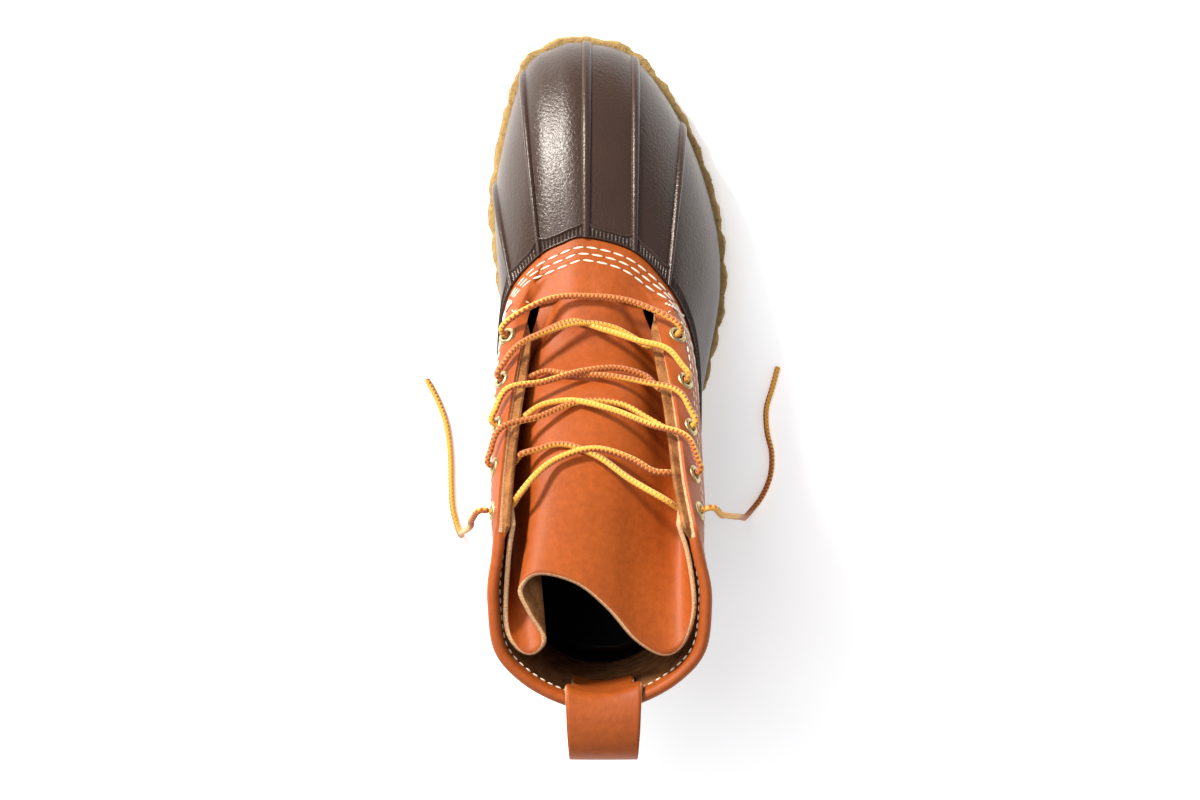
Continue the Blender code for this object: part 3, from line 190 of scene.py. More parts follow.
# Stations round the boot: sole_x, sole_y, rim_x, rim_y, rim_z, wall, reach, belly, lean. Both x,
# belly and lean are shares of the ball's width, both y of the boot's length, rim_z and wall of the
# rim's height, and reach of the way in plan from the rim to the sole.
STATION_ROWS = np.array((
    (-0.052, 1.000, -0.057, 0.668, 1.000, 0.36, 0.52, 0.008, 0.000),
    (0.165, 0.974, 0.136, 0.647, 0.968, 0.36, 0.50, 0.008, 0.000),
    (0.374, 0.866, 0.271, 0.596, 0.905, 0.38, 0.42, 0.010, 0.000),
    (0.503, 0.728, 0.337, 0.551, 0.853, 0.40, 0.30, 0.014, 0.004),
    (0.535, 0.607, 0.374, 0.505, 0.808, 0.36, 0.20, 0.016, 0.010),
    (0.478, 0.488, 0.395, 0.442, 0.769, 0.28, 0.10, 0.020, 0.014),
    (0.387, 0.363, 0.398, 0.356, 0.737, 0.22, 0.05, 0.022, 0.014),
    (0.352, 0.231, 0.378, 0.238, 0.744, 0.22, 0.05, 0.020, 0.004),
    (0.343, 0.122, 0.335, 0.125, 0.782, 0.24, 0.05, 0.026, -0.004),
    (0.224, 0.026, 0.206, 0.043, 0.820, 0.26, 0.05, 0.030, -0.010),
    (0.000, 0.000, 0.000, 0.016, 0.840, 0.26, 0.05, 0.030, -0.016),
    (-0.220, 0.026, -0.206, 0.043, 0.820, 0.26, 0.05, 0.030, -0.010),
    (-0.335, 0.122, -0.339, 0.125, 0.782, 0.24, 0.05, 0.026, -0.004),
    (-0.326, 0.231, -0.383, 0.238, 0.744, 0.22, 0.05, 0.020, 0.004),
    (-0.326, 0.363, -0.404, 0.356, 0.737, 0.22, 0.05, 0.020, 0.014),
    (-0.374, 0.495, -0.409, 0.449, 0.756, 0.26, 0.10, 0.018, 0.014),
    (-0.439, 0.620, -0.396, 0.538, 0.808, 0.34, 0.20, 0.014, 0.010),
    (-0.467, 0.765, -0.348, 0.596, 0.878, 0.40, 0.34, 0.012, 0.004),
    (-0.350, 0.946, -0.239, 0.641, 0.960, 0.38, 0.46, 0.010, 0.000),
    (-0.200, 0.993, -0.152, 0.659, 0.990, 0.36, 0.52, 0.008, 0.000),
))

# The leather's top line: u, x, y, z, out, down, corner. x, out and down are shares of the ball's
# width, y of the boot's length and z of the collar's height over the rim. Corner 1 is a sharp one.
TOP_ROWS = np.array((
    (0.0, -0.035, 0.578, 0.120, 0.00, 0.02, 0),
    (1.0, 0.087, 0.575, 0.100, 0.01, 0.02, 0),
    (1.5, 0.206, 0.566, 0.056, 0.04, 0.05, 1),
    (2.0, 0.228, 0.535, 0.165, 0.10, 0.07, 0),
    (3.0, 0.258, 0.480, 0.340, 0.14, 0.11, 0),
    (4.0, 0.284, 0.426, 0.505, 0.13, 0.14, 0),
    (5.0, 0.304, 0.367, 0.670, 0.12, 0.16, 0),
    (6.0, 0.322, 0.304, 0.840, 0.11, 0.20, 0),
    (6.8, 0.348, 0.250, 0.985, 0.09, 0.24, 1),
    (7.2, 0.375, 0.212, 0.992, 0.04, 0.26, 0),
    (8.0, 0.408, 0.140, 0.985, -0.02, 0.26, 0),
    (8.5, 0.386, 0.075, 0.970, -0.04, 0.28, 0),
    (9.0, 0.292, 0.032, 0.958, -0.06, 0.30, 0),
    (9.5, 0.152, 0.002, 0.950, -0.07, 0.30, 0),
    (10.0, 0.000, -0.011, 0.948, -0.08, 0.30, 0),
    (10.5, -0.152, 0.002, 0.950, -0.07, 0.30, 0),
    (11.0, -0.292, 0.032, 0.958, -0.06, 0.30, 0),
    (11.5, -0.386, 0.075, 0.970, -0.04, 0.28, 0),
    (12.0, -0.410, 0.140, 0.985, -0.02, 0.26, 0),
    (12.8, -0.392, 0.212, 0.992, 0.03, 0.26, 0),
    (13.2, -0.375, 0.252, 0.985, 0.07, 0.24, 1),
    (14.0, -0.368, 0.310, 0.825, 0.09, 0.20, 0),
    (15.0, -0.354, 0.374, 0.655, 0.10, 0.16, 0),
    (16.0, -0.336, 0.432, 0.490, 0.11, 0.14, 0),
    (17.0, -0.314, 0.486, 0.330, 0.12, 0.11, 0),
    (18.0, -0.288, 0.538, 0.160, 0.08, 0.07, 0),
    (18.4, -0.270, 0.566, 0.056, 0.04, 0.05, 1),
    (19.0, -0.150, 0.576, 0.104, 0.01, 0.02, 0),
))
OUTER_FACING = (1.5, 6.8)
INNER_FACING = (18.4, 13.2)

# Folds of the tongue from the inner facing across: mid_x, mid_up, top_x, top_y, top_up, as shares
# of the ball's width.
FOLD_ROWS = np.array((
    (-0.366, -0.160, -0.318, 0.690, -0.022),
    (-0.352, -0.210, -0.336, 0.560, -0.022),
    (-0.330, -0.230, -0.345, 0.330, -0.024),
    (-0.310, -0.200, -0.305, 0.235, -0.024),
    (-0.296, -0.150, -0.245, 0.215, -0.020),
    (-0.276, -0.095, -0.205, 0.270, -0.010),
    (-0.240, -0.058, -0.262, 0.375, 0.015),
    (-0.180, -0.036, -0.290, 0.455, 0.035),
    (-0.110, -0.026, -0.225, 0.512, 0.045),
    (-0.030, -0.024, -0.085, 0.478, 0.045),
    (0.050, -0.032, 0.030, 0.385, 0.035),
    (0.110, -0.052, 0.130, 0.270, 0.015),
    (0.165, -0.090, 0.232, 0.212, -0.004),
    (0.215, -0.150, 0.305, 0.250, -0.018),
    (0.262, -0.205, 0.345, 0.380, -0.024),
    (0.300, -0.215, 0.326, 0.560, -0.022),
    (0.328, -0.170, 0.288, 0.690, -0.022),
))
TONGUE_KNOTS = (0.0, 0.07, 0.26, 0.52, 1.0)
TONGUE_MIDDLE = -0.035

# Stitches at the facings' lower corners: bar tacks from u, w to u, w, and half rounds at u, w that
# open at this many degrees from the rim's direction.
BAR_TACKS = (((1.82, 0.68), (2.96, 0.03)), ((17.24, 0.34), (16.60, 0.17)))
CORNER_STITCHES = ((1.846, 0.78, 60.0), (17.786, 0.644, 120.0))

# Camera straight above, in metres, for a photograph of 1200 x 800 pixels; half the floor's side.
CAMERA_PLACE = (-0.0038, -0.01076, 1.2)
CAMERA_LENS = 73.8
SENSOR_WIDTH = 36.0
FLOOR_HALF = 2.5

# Soft lamps, all turned to one point in the boot: name, place, size, power, colour.
LAMP_AIM = Vector((0, 0, 0.06))
LAMPS = (
    ("key_softbox", (-0.80, 0.98, 0.80), 0.26, 36.0, "FFF8EE"),
    ("fill_softbox", (0.95, -0.25, 1.15), 1.2, 2.0, "F2F6FF"),
    ("top_softbox", (-0.60, 0.25, 1.65), 0.9, 11.5, "FFFFFF"),
    ("back_softbox", (-0.55, -0.95, 0.9), 1.0, 3.0, "FFFFFF"),
)

# Thread: how far from a facing's ends its rows start and stop, the half rounds' radius, the collar
# row's distance below the top and its pitch. A row's stitches are pitch, length, lift, width and
# height; the rim's have pitch and length among the sizes below.
FACING_SPAN = (9.0, 3.0)
CORNER_RADIUS = 3.4
COLLAR_ROW = 5.0
COLLAR_PITCH = 3.7
RIM_STITCHES = (0.0, 1.05, 0.5)
FACING_ROWS = ((13.4, (5.0, 3.6, 0.2, 0.85, 0.45)), (16.6, (5.0, 3.6, 0.0, 0.85, 0.45)))
TACK_STITCHES = (1.5, 1.45, 0.5, 1.3, 0.5)
ROUND_STITCHES = (2.6, 2.0, 0.5, 0.7, 0.4)
COLLAR_STITCHES = (COLLAR_PITCH, 2.6, 0.25, 0.7, 0.4)

# The row inside the collar: distance below the top and depth behind the leather's face, then where
# a stitch starts, has its middle and ends, and its width and height.
INSIDE_ROW = (4.6, -4.55)
INSIDE_STITCH = (0.5, 1.8, 3.1)
INSIDE_THREAD = (0.7, 0.35)


def linear(code):
    """An sRGB hex colour as linear red, green and blue."""
    parts = [int(code[i:i + 2], 16) / 255 for i in (0, 2, 4)]
    return [p / 12.92 if p <= 0.04045 else ((p + 0.055) / 1.055) ** 2.4 for p in parts]


# ---------------------------------------------------------------- shape of the boot


def smooth_curve(knots, values, corners=None, period=None):
    """A smooth curve through values at the knots, as a function of an array of positions."""
    knots = np.asarray(knots, float)
    values = np.asarray(values, float)
    corners = np.zeros(len(knots)) if corners is None else np.asarray(corners)
    if period is not None:
        knots = np.concatenate([knots[-2:] - period, knots, knots[:3] + period])
        values = np.concatenate([values[-2:], values, values[:3]])
        corners = np.concatenate([corners[-2:], corners, corners[:3]])
    steps = np.diff(knots)
    slopes = np.diff(values, axis=0) / steps[:, None]
    before = np.concatenate([slopes[:1], slopes])
    after = np.concatenate([slopes, slopes[-1:]])
    weight = np.concatenate([[1.0], steps[1:] / (steps[:-1] + steps[1:]), [0.0]])[:, None]
    mixed = before * weight + after * (1 - weight)
    mixed[0], mixed[-1] = slopes[0], slopes[-1]
    sharp = (corners > 0)[:, None]
    arriving = np.where(sharp, before, mixed)
    leaving = np.where(sharp, after, mixed)

    def read(u):
        u = np.asarray(u, float)
        u = u % period if period is not None else u
        i = np.clip(np.searchsorted(knots, u, side="right") - 1, 0, len(knots) - 2)
        step = steps[i][..., None]
        t = (u - knots[i])[..., None] / step
        t2, t3 = t * t, t * t * t
        return (
            values[i] * (2 * t3 - 3 * t2 + 1)
            + leaving[i] * (step * (t3 - 2 * t2 + t))
            + values[i + 1] * (3 * t2 - 2 * t3)
            + arriving[i + 1] * (step * (t3 - t2))
        )

    return read


SOLE_SHARES = smooth_curve(np.arange(STATIONS), STATION_ROWS[:, 0:2], period=STATIONS)
RIM_SHARES = smooth_curve(np.arange(STATIONS), STATION_ROWS[:, 2:5], period=STATIONS)
RUBBER_SHAPE = smooth_curve(np.arange(STATIONS), STATION_ROWS[:, 5:8], period=STATIONS)
LEATHER_LEAN = smooth_curve(np.arange(STATIONS), STATION_ROWS[:, 8:9], period=STATIONS)
TOP_SHARES = smooth_curve(TOP_ROWS[:, 0], TOP_ROWS[:, 1:4], TOP_ROWS[:, 6], STATIONS)
TOP_SHAPE = smooth_curve(TOP_ROWS[:, 0], TOP_ROWS[:, 4:6], None, STATIONS)
FOLDS = smooth_curve(np.linspace(0, 1, len(FOLD_ROWS)), FOLD_ROWS)


def unit(vectors):
    return vectors / np.linalg.norm(vectors, axis=-1, keepdims=True)


def lengths_along(points):
    """The length along a line of points, up to each of them."""
    steps = np.linalg.norm(np.diff(points, axis=0), axis=1)
    return np.concatenate([[0.0], np.cumsum(steps)])


def flat(xy, z=0.0):
    """Points in plan given a height."""
    z = np.broadcast_to(z, xy.shape[:-1])
    return np.concatenate([xy, z[..., None]], axis=-1)


def smooth_step(value, low, high):
    t = np.clip((np.asarray(value, float) - low) / (high - low), 0.0, 1.0)
    return t * t * (3 - 2 * t)


def hump(value, width):
    """1 at 0, falling smoothly to 0 at the width on both sides."""
    return 1 - smooth_step(np.abs(value), 0.0, width)


def sole_outline(u):
    return SOLE_SHARES(u) * np.array([BALL_WIDTH, BOOT_LENGTH])


def outward(u):
    """The direction out of the boot in plan, square to the sole's outline."""
    along = sole_outline(u + 0.05) - sole_outline(u - 0.05)
    return unit(np.stack([-along[..., 1], along[..., 0]], axis=-1))


def sole_lift(y):
    start = 0.72 * BOOT_LENGTH
    return TOE_SPRING * np.maximum(0.0, (y - start) / (BOOT_LENGTH - start)) ** 2


def sole_bottom(y):
    """Height of the tread's face: flat at heel and forefoot, lifted at the arch and the toe."""
    rise = smooth_step(y, 0.29 * BOOT_LENGTH, 0.34 * BOOT_LENGTH)
    fall = smooth_step(y, 0.43 * BOOT_LENGTH, 0.49 * BOOT_LENGTH)
    heel_edge = np.maximum(0.0, 1 - y / (0.04 * BOOT_LENGTH)) ** 2
    return sole_lift(y) + ARCH_LIFT * (rise - fall) + heel_edge


def sole_top(y):
    to_ball = smooth_step(y, 0.25 * BOOT_LENGTH, 0.60 * BOOT_LENGTH)
    to_toe = smooth_step(y, 0.70 * BOOT_LENGTH, BOOT_LENGTH)
    thickness = HEEL_THICKNESS + (BALL_THICKNESS - HEEL_THICKNESS) * to_ball
    return sole_lift(y) + thickness + (TOE_THICKNESS - BALL_THICKNESS) * to_toe


def foot_line(u):
    """Where the rubber bottom meets the outsole."""
    xy = sole_outline(u) - outward(u) * SOLE_LEDGE
    return flat(xy, sole_top(xy[..., 1]) + SEAT_GAP)


def rim_line(u):
    return RIM_SHARES(u) * np.array([BALL_WIDTH, BOOT_LENGTH, RIM_HEIGHT])


def top_line(u):
    """The leather's top line: throat, facing and collar."""
    rise = COLLAR_HEIGHT - RIM_HEIGHT
    return TOP_SHARES(u) * np.array([BALL_WIDTH, BOOT_LENGTH, rise]) + np.array([0, 0, RIM_HEIGHT])


def bezier(p0, p1, p2, p3, t):
    t = np.asarray(t, float)[..., None]
    s = 1 - t
    return p0 * s**3 + 3 * p1 * s * s * t + 3 * p2 * s * t * t + p3 * t**3


def rubber_surface(u, v):
    """Outer face of the rubber bottom: v runs from the sole, 0, to the rim, 1."""
    u, v = np.broadcast_arrays(np.asarray(u, float), np.asarray(v, float))
    foot, rim = foot_line(u), rim_line(u)
    wall, reach, belly = np.moveaxis(RUBBER_SHAPE(u), -1, 0)
    out = flat(outward(u)) * (belly * BALL_WIDTH)[..., None]
    low = foot + out
    low[..., 2] += wall * RIM_HEIGHT
    high = rim + (foot - rim) * np.array([1.0, 1.0, 0.0]) * reach[..., None] + out * 0.6
    fall = 0.10 + 0.25 * (1 - reach)
    high[..., 2] -= fall * (rim[..., 2] - foot[..., 2]) * (1 - reach)
    return bezier(foot, low, high, rim, v)


def leather_surface(u, w):
    """Outer face of the leather: w runs from the rim, 0, to the top line, 1."""
    u, w = np.broadcast_arrays(np.asarray(u, float), np.asarray(w, float))
    rim, top = rim_line(u), top_line(u)
    lean = LEATHER_LEAN(u)
    out_top, down = np.moveaxis(TOP_SHAPE(u), -1, 0)
    out = flat(outward(u))
    rise = top[..., 2] - rim[..., 2]
    third = (top - rim) / 3 * np.array([1.0, 1.0, 0.0])
    low = rim + third + out * lean * BALL_WIDTH
    low[..., 2] += 0.36 * rise
    high = top - third * 0.6 + out * (out_top * BALL_WIDTH * 0.9)[..., None]
    high[..., 2] -= np.minimum(down * BALL_WIDTH, 0.45 * rise)
    return bezier(rim, low, high, top, w)


def surface_normal(surface, u, v):
    step = 1e-3
    along_u = surface(u + step, v) - surface(u - step, v)
    along_v = surface(u, v + step) - surface(u, v - step)
    return unit(np.cross(along_v, along_u))


def leather_slopes(u, w):
    """How fast the leather's face moves along u and along w."""
    step = 1e-3
    along_u = (leather_surface(u + step, w) - leather_surface(u - step, w)) / (2 * step)
    along_w = (leather_surface(u, w + step) - leather_surface(u, w - step)) / (2 * step)
    return along_u, along_w


def offset_point(surface, u, v, distance):
    """Points of the surface moved out along its normal."""
    u, v = np.asarray(u, float), np.asarray(v, float)
    distance = np.asarray(distance, float)[..., None]
    return surface(u, v) + surface_normal(surface, u, v) * distance


def at_rim(u, out, up=0.0):
    """Points beside the rim, this far outward and upward from it."""
    rim = rim_line(u)
    away = surface_normal(rubber_surface, u, np.ones_like(u))
    away = unit(away + surface_normal(leather_surface, u, np.zeros_like(u)))
    rising = unit(np.cross(rim_line(u + 0.01) - rim_line(u - 0.01), away))
    rising = rising * np.sign(rising[..., 2:3])
    out, up = np.asarray(out, float)[..., None], np.asarray(up, float)[..., None]
    return rim + away * out + rising * up


def share_at(surface, u, distance, start, end):
    """The share at which the surface lies this far from its start edge, also beyond both ends."""
    u, distance = np.broadcast_arrays(np.asarray(u, float), np.asarray(distance, float))
    shares = np.linspace(start, end, 41)
    points = surface(u[..., None], shares)
    lengths = np.cumsum(np.linalg.norm(np.diff(points, axis=-2), axis=-1), axis=-1)
    lengths = np.concatenate([np.zeros_like(lengths[..., :1]), lengths], axis=-1)
    i = np.clip((lengths <= distance[..., None]).sum(-1) - 1, 0, 39)[..., None]
    low = np.take_along_axis(lengths, i, -1)[..., 0]
    high = np.take_along_axis(lengths, i + 1, -1)[..., 0]
    return start + (end - start) / 40 * (i[..., 0] + (distance - low) / (high - low))


def below_top(u, distance):
    return share_at(leather_surface, u, distance, 1.0, 0.0)


def rim_slant(surface, u, edge, inside):
    """How square the surface's lines meet the rim: 1 where they do, less beside it."""
    u = np.asarray(u, float)
    rim = unit(rim_line(u + 0.01) - rim_line(u - 0.01))
    leaving = unit(surface(u, np.full_like(u, inside)) - surface(u, np.full_like(u, edge)))
    return np.maximum(np.linalg.norm(np.cross(leaving, rim), axis=-1), 0.45)


def above_rim(u, distance):
    """The share of the leather this far above the rim, square to it."""
    slant = rim_slant(leather_surface, u, 0.0, 0.05)
    return share_at(leather_surface, u, distance / slant, 0.0, 1.0)


def below_rim(u, distance):
    """The share of the rubber this far below the rim, square to it."""
    slant = rim_slant(rubber_surface, u, 1.0, 0.97)
    return share_at(rubber_surface, u, distance / slant, 1.0, 0.0)


def facing_walk(facing):
    """A function from the length along a facing's edge to the position u, and its whole length."""
    us = np.linspace(facing[0], facing[1], 121)
    lengths = lengths_along(top_line(us))
    return lambda distance: np.interp(distance, lengths, us), lengths[-1]


def beside_facing(facing, along, inset):
    """The u and w of the leather this far square to a facing's edge, at lengths along the edge."""
    place, _ = facing_walk(facing)
    along = np.asarray(along, float)
    u, w = place(along), np.ones_like(along)
    edge = unit(top_line(place(along + 0.5)) - top_line(place(along - 0.5)))
    count = max(1, round(abs(inset) / 2))
    for _ in range(count):
        along_u, along_w = leather_slopes(u, w)
        square = unit(np.cross(np.cross(along_u, along_w), edge))
        square = -square * np.sign((square * along_w).sum(-1, keepdims=True))
        uu, ww, uw = (along_u**2).sum(-1), (along_w**2).sum(-1), (along_u * along_w).sum(-1)
        su, sw = (square * along_u).sum(-1), (square * along_w).sum(-1)
        scale = inset / count / (uu * ww - uw * uw)
        u = u + (ww * su - uw * sw) * scale
        w = w + (uu * sw - uw * su) * scale
    return u, w


def along_facing(facing, row):
    _, length = facing_walk(facing)
    return length * (OUTER_EYELETS if facing == OUTER_FACING else INNER_EYELETS)[row]


def eyelet_place(facing, row):
    """Centre and outward normal of an eyelet, on the leather's outer face."""
    u, w = beside_facing(facing, along_facing(facing, row), EYELET_INSET)
    return leather_surface(u, w), surface_normal(leather_surface, u, w)


def near_facing(facing, along, inset, height):
    """A point beside a facing's edge: inset from it and height over the leather's outer face."""
    return offset_point(leather_surface, *beside_facing(facing, along, inset), height)


def off_vamp(u):
    """1 along the facings and the collar, 0 along the throat's edge on the vamp."""
    return smooth_step(u, OUTER_FACING[0], OUTER_FACING[0] + 0.5) * (
        1 - smooth_step(u, INNER_FACING[0] - 0.5, INNER_FACING[0])
    )


def on_collar(u):
    """1 along the collar, 0 along the facings and the throat."""
    return smooth_step(u, OUTER_FACING[1] - 0.05, OUTER_FACING[1] + 0.3) * (
        1 - smooth_step(u, INNER_FACING[1] - 0.3, INNER_FACING[1] + 0.05)
    )


def rib_reach(station):
    """A rib's half width in stations, one for its whole height, so its edges follow the columns."""
    before, after = rubber_surface(station - 0.2, 0.55), rubber_surface(station + 0.2, 0.55)
    gap = np.linalg.norm(after - before) / 0.4
    return RIB_WIDTH / 2 / gap


def tongue_columns(shares, alongs):
    """Points of the tongue's middle, one row of points for each share across it."""
    mid_x, mid_up, top_x, top_y, top_up = np.moveaxis(FOLDS(shares), -1, 0)
    front, back = top_line(0.0), top_line(OUTER_FACING[1])
    slope = unit(np.array([0.0, back[1] - front[1], back[2] - front[2]]))
    up = np.array([0.0, slope[2], -slope[1]]) * BALL_WIDTH
    middle = 0.5 * (top_line(4.0) + top_line(16.0))
    lower = 0.5 * (top_line(2.4) + top_line(17.6))
    collar = top_line(10.0)
    low_x = TONGUE_MIDDLE + (mid_x - TONGUE_MIDDLE) * 0.84
    depth = -(LEATHER + SEAT_GAP + TONGUE_LEATHER / 2)
    first, last = INNER_FACING[0] - STATIONS + 0.12, OUTER_FACING[0] - 0.12
    u = first + (last - first) * shares
    sewn = below_top(np.zeros(1), 8.0)[0]
    # Between the facings the tongue starts in the vamp's face, as the vamp flows into it.
    flush = smooth_step(shares, 0.08, 0.20) * (1 - smooth_step(shares, 0.80, 0.92))
    keys = np.stack([
        offset_point(leather_surface, u, np.full_like(u, sewn), depth + flush * (-2.0 - depth)),
        offset_point(leather_surface, u, np.ones_like(u), depth + flush * (-0.75 - depth)),
        np.stack([low_x * BALL_WIDTH, np.full_like(u, lower[1]), np.full_like(u, lower[2])], -1)
        + up * (mid_up * 0.62 - 0.035)[:, None],
        np.stack([mid_x * BALL_WIDTH, np.full_like(u, middle[1]), np.full_like(u, middle[2])], -1)
        + up * mid_up[:, None],
        np.stack([top_x * BALL_WIDTH, collar[1] + top_y * BALL_WIDTH,
                  COLLAR_HEIGHT + top_up * BALL_WIDTH], -1),
    ])
    return np.array([smooth_curve(TONGUE_KNOTS, keys[:, i])(alongs) for i in range(len(shares))])


def smooth_path(points, count, bend=0.0, bend_count=0):
    """Points by length along a smooth curve through the given ones, closer in a first bend."""
    points = np.array(points, float)
    lengths = lengths_along(points)
    places = list(np.linspace(0, bend, bend_count, endpoint=False))
    places += list(np.linspace(bend, lengths[-1] - 1e-9, count))
    return smooth_curve(lengths, points)(np.array(places))


# ---------------------------------------------------------------- making meshes


def framed(points):
    """Millimetres in the boot's own place to metres in the frame."""
    return (np.asarray(points, float) + FRAME_SHIFT) * MM


def finish_piece(name, bm, kinds, nodes=(), smooth_angle=40, wall=None):
    """Turns a bmesh into a piece that rides on the boot and replaces the named nodes.

    kinds are its materials; wall is a Solidify's thickness and offset.
    """
    mesh = bpy.data.meshes.new(name)
    bm.to_mesh(mesh)
    bm.free()
    for kind in kinds:
        mesh.materials.append(material_of(kind))
    mesh.shade_smooth()
    mesh.set_sharp_from_angle(angle=math.radians(smooth_angle))
    piece = bpy.data.objects.new(name, mesh)
    bpy.context.scene.collection.objects.link(piece)
    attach(piece, "root")
    if wall:
        solidify(piece, *wall, leather=len(kinds) > 1)
    if nodes:
        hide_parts(*nodes)
    return piece


def moved_grid(points, flip=False, uv=None, pick=None):
    """A bmesh grid with its vertices moved to points[i][j]; seams and poles are closed.

    uv(i, j) gives a corner's place on the pattern and pick(i, j) a face's material.
    """
    columns, rows = points.shape[0] - 1, points.shape[1] - 1
    bm = bmesh.new()
    bmesh.ops.create_grid(bm, x_segments=columns, y_segments=rows, size=0.5)
    place = {}
    for vert in bm.verts:
        i, j = round((vert.co.x + 0.5) * columns), round((vert.co.y + 0.5) * rows)
        place[vert.index] = (i, j)
    metres = framed(points)
    layer = bm.loops.layers.uv.new("pattern") if uv else None
    for face in bm.faces:
        corners = [place[loop.vert.index] for loop in face.loops]
        if pick:
            face.material_index = pick(min(c[0] for c in corners), min(c[1] for c in corners))
        if uv:
            for loop, corner in zip(face.loops, corners):
                loop[layer].uv = uv(*corner)
    for vert in bm.verts:
        vert.co = metres[place[vert.index]]
    bmesh.ops.remove_doubles(bm, verts=bm.verts, dist=2e-6)
    if flip:
        bmesh.ops.reverse_faces(bm, faces=bm.faces)
    return bm


def outward_faces(bm):
    """Turns a closed shell's faces outward."""
    bmesh.ops.recalc_face_normals(bm, faces=bm.faces)
    if bm.calc_volume(signed=True) < 0:
        bmesh.ops.reverse_faces(bm, faces=bm.faces)


def solidify(piece, thickness, offset, leather):
    """A wall; leather has its flesh side inside and its cut edge at the rim."""
    wall = piece.modifiers.new("wall", "SOLIDIFY")
    wall.thickness = thickness * MM
    wall.offset = offset
    wall.use_even_offset = True
    wall.material_offset = 1 if leather else 0
    wall.material_offset_rim = 2 if leather else 0


def tube_along(path, radius, pitch, around=12, tuck=0.18, start=0.0):
    """A braided round lace along a path in millimetres, with closed ends and a pattern map."""
    path = np.array(path, float)
    lengths = lengths_along(path)
    curve = smooth_curve(lengths, path)
    count = int(lengths[-1] / (pitch / 3))
    places = np.linspace(0.0, lengths[-1] - 1e-9, count)
    line = curve(places)
    tangents = unit(np.gradient(line, axis=0))
    side = unit(np.cross(tangents[0], [0.3, 0.5, 0.8]))
    sides = [side]
    for tangent in tangents[1:]:
        side = side - tangent * np.dot(side, tangent)
        side = side / np.linalg.norm(side)
        sides.append(side)
    sides = np.array(sides)
    others = np.cross(tangents, sides)
    angle = np.linspace(0.0, 2 * math.pi, around + 1)
    phase = places[:, None] / pitch * 2 * math.pi
    strands = np.cos(3 * angle[None, :] + phase) * np.cos(3 * angle[None, :] - phase)
    size = radius * (1 - tuck / 2 + tuck / 2 * strands)
    cap = np.minimum(np.arange(count), np.arange(count)[::-1])
    size = size * np.array([0.0, 0.72, 0.93, 1.0])[np.minimum(cap, 3)][:, None]
    cosine, sine = np.cos(angle)[None, :, None], np.sin(angle)[None, :, None]
    points = line[:, None] + size[..., None] * (cosine * sides[:, None] + sine * others[:, None])

    def uv(i, j):
        return (start + places[i]) / pitch, j / around

    bm = moved_grid(points, uv=uv)
    outward_faces(bm)
    return bm


def open_hole(bm, centre, normal, radius):
    """A hole through a wall at centre, in millimetres; its edge stays below the eyelet's rim."""
    middle, axis = Vector(framed(centre)), Vector(normal).normalized()
    inside = []
    for face in bm.faces:
        away = face.calc_center_median() - middle
        depth = away.dot(axis)
        if abs(depth) < WALL_REACH * MM and (away - axis * depth).length < radius * MM:
            inside.append(face)
    bmesh.ops.delete(bm, geom=inside, context="FACES")


def add_stitch(bm, start, end, normal, width, height):
    """A sunk thread from start to end, in millimetres, lying along the surface."""
    centre = (framed(start) + framed(end)) / 2
    along = Vector(end - start)
    long = along.length / 2
    along.normalize()
    up = Vector(normal).normalized()
    across = along.cross(up).normalized()
    up = across.cross(along)
    turn = Matrix((across, up, along)).transposed().to_4x4()
    size = Matrix.Diagonal((width / 2 * MM, height * MM, long * MM, 1.0))
    bmesh.ops.create_uvsphere(bm, u_segments=6, v_segments=5, radius=1.0,
                              matrix=Matrix.Translation(centre) @ turn @ size)


def stitch_row(bm, us, ws, pitch, length, lift, width, height):
    """Stitches at an even pitch along a line on the leather."""
    line = leather_surface(us, ws)
    normals = surface_normal(leather_surface, us, ws)
    lengths = lengths_along(line)
    count = int(lengths[-1] / pitch)
    for k in range(count):
        ends = []
        for place in (k * pitch + (pitch - length) / 2, k * pitch + (pitch + length) / 2):
            point = np.array([np.interp(place, lengths, line[:, a]) for a in range(3)])
            normal = np.array([np.interp(place, lengths, normals[:, a]) for a in range(3)])
            ends.append((point + normal * lift, normal))
        add_stitch(bm, ends[0][0], ends[1][0], ends[0][1], width, height)


# ---------------------------------------------------------------- materials


def add_node(tree, kind, inputs=None, **settings):
    """Adds a node; settings are its own properties, inputs are values or other nodes' sockets."""
    made = tree.nodes.new(kind)
    for key, value in settings.items():
        setattr(made, key, value)
    for key, value in (inputs or {}).items():
        if isinstance(value, bpy.types.NodeSocket):
            tree.links.new(value, made.inputs[key])
        else:
            made.inputs[key].default_value = value
    return made


def rgba(colour):
    return (*colour, 1.0)


def per_mm(size):
    """Pattern scale for features of this size in millimetres."""
    return 1.0 / (size * MM)


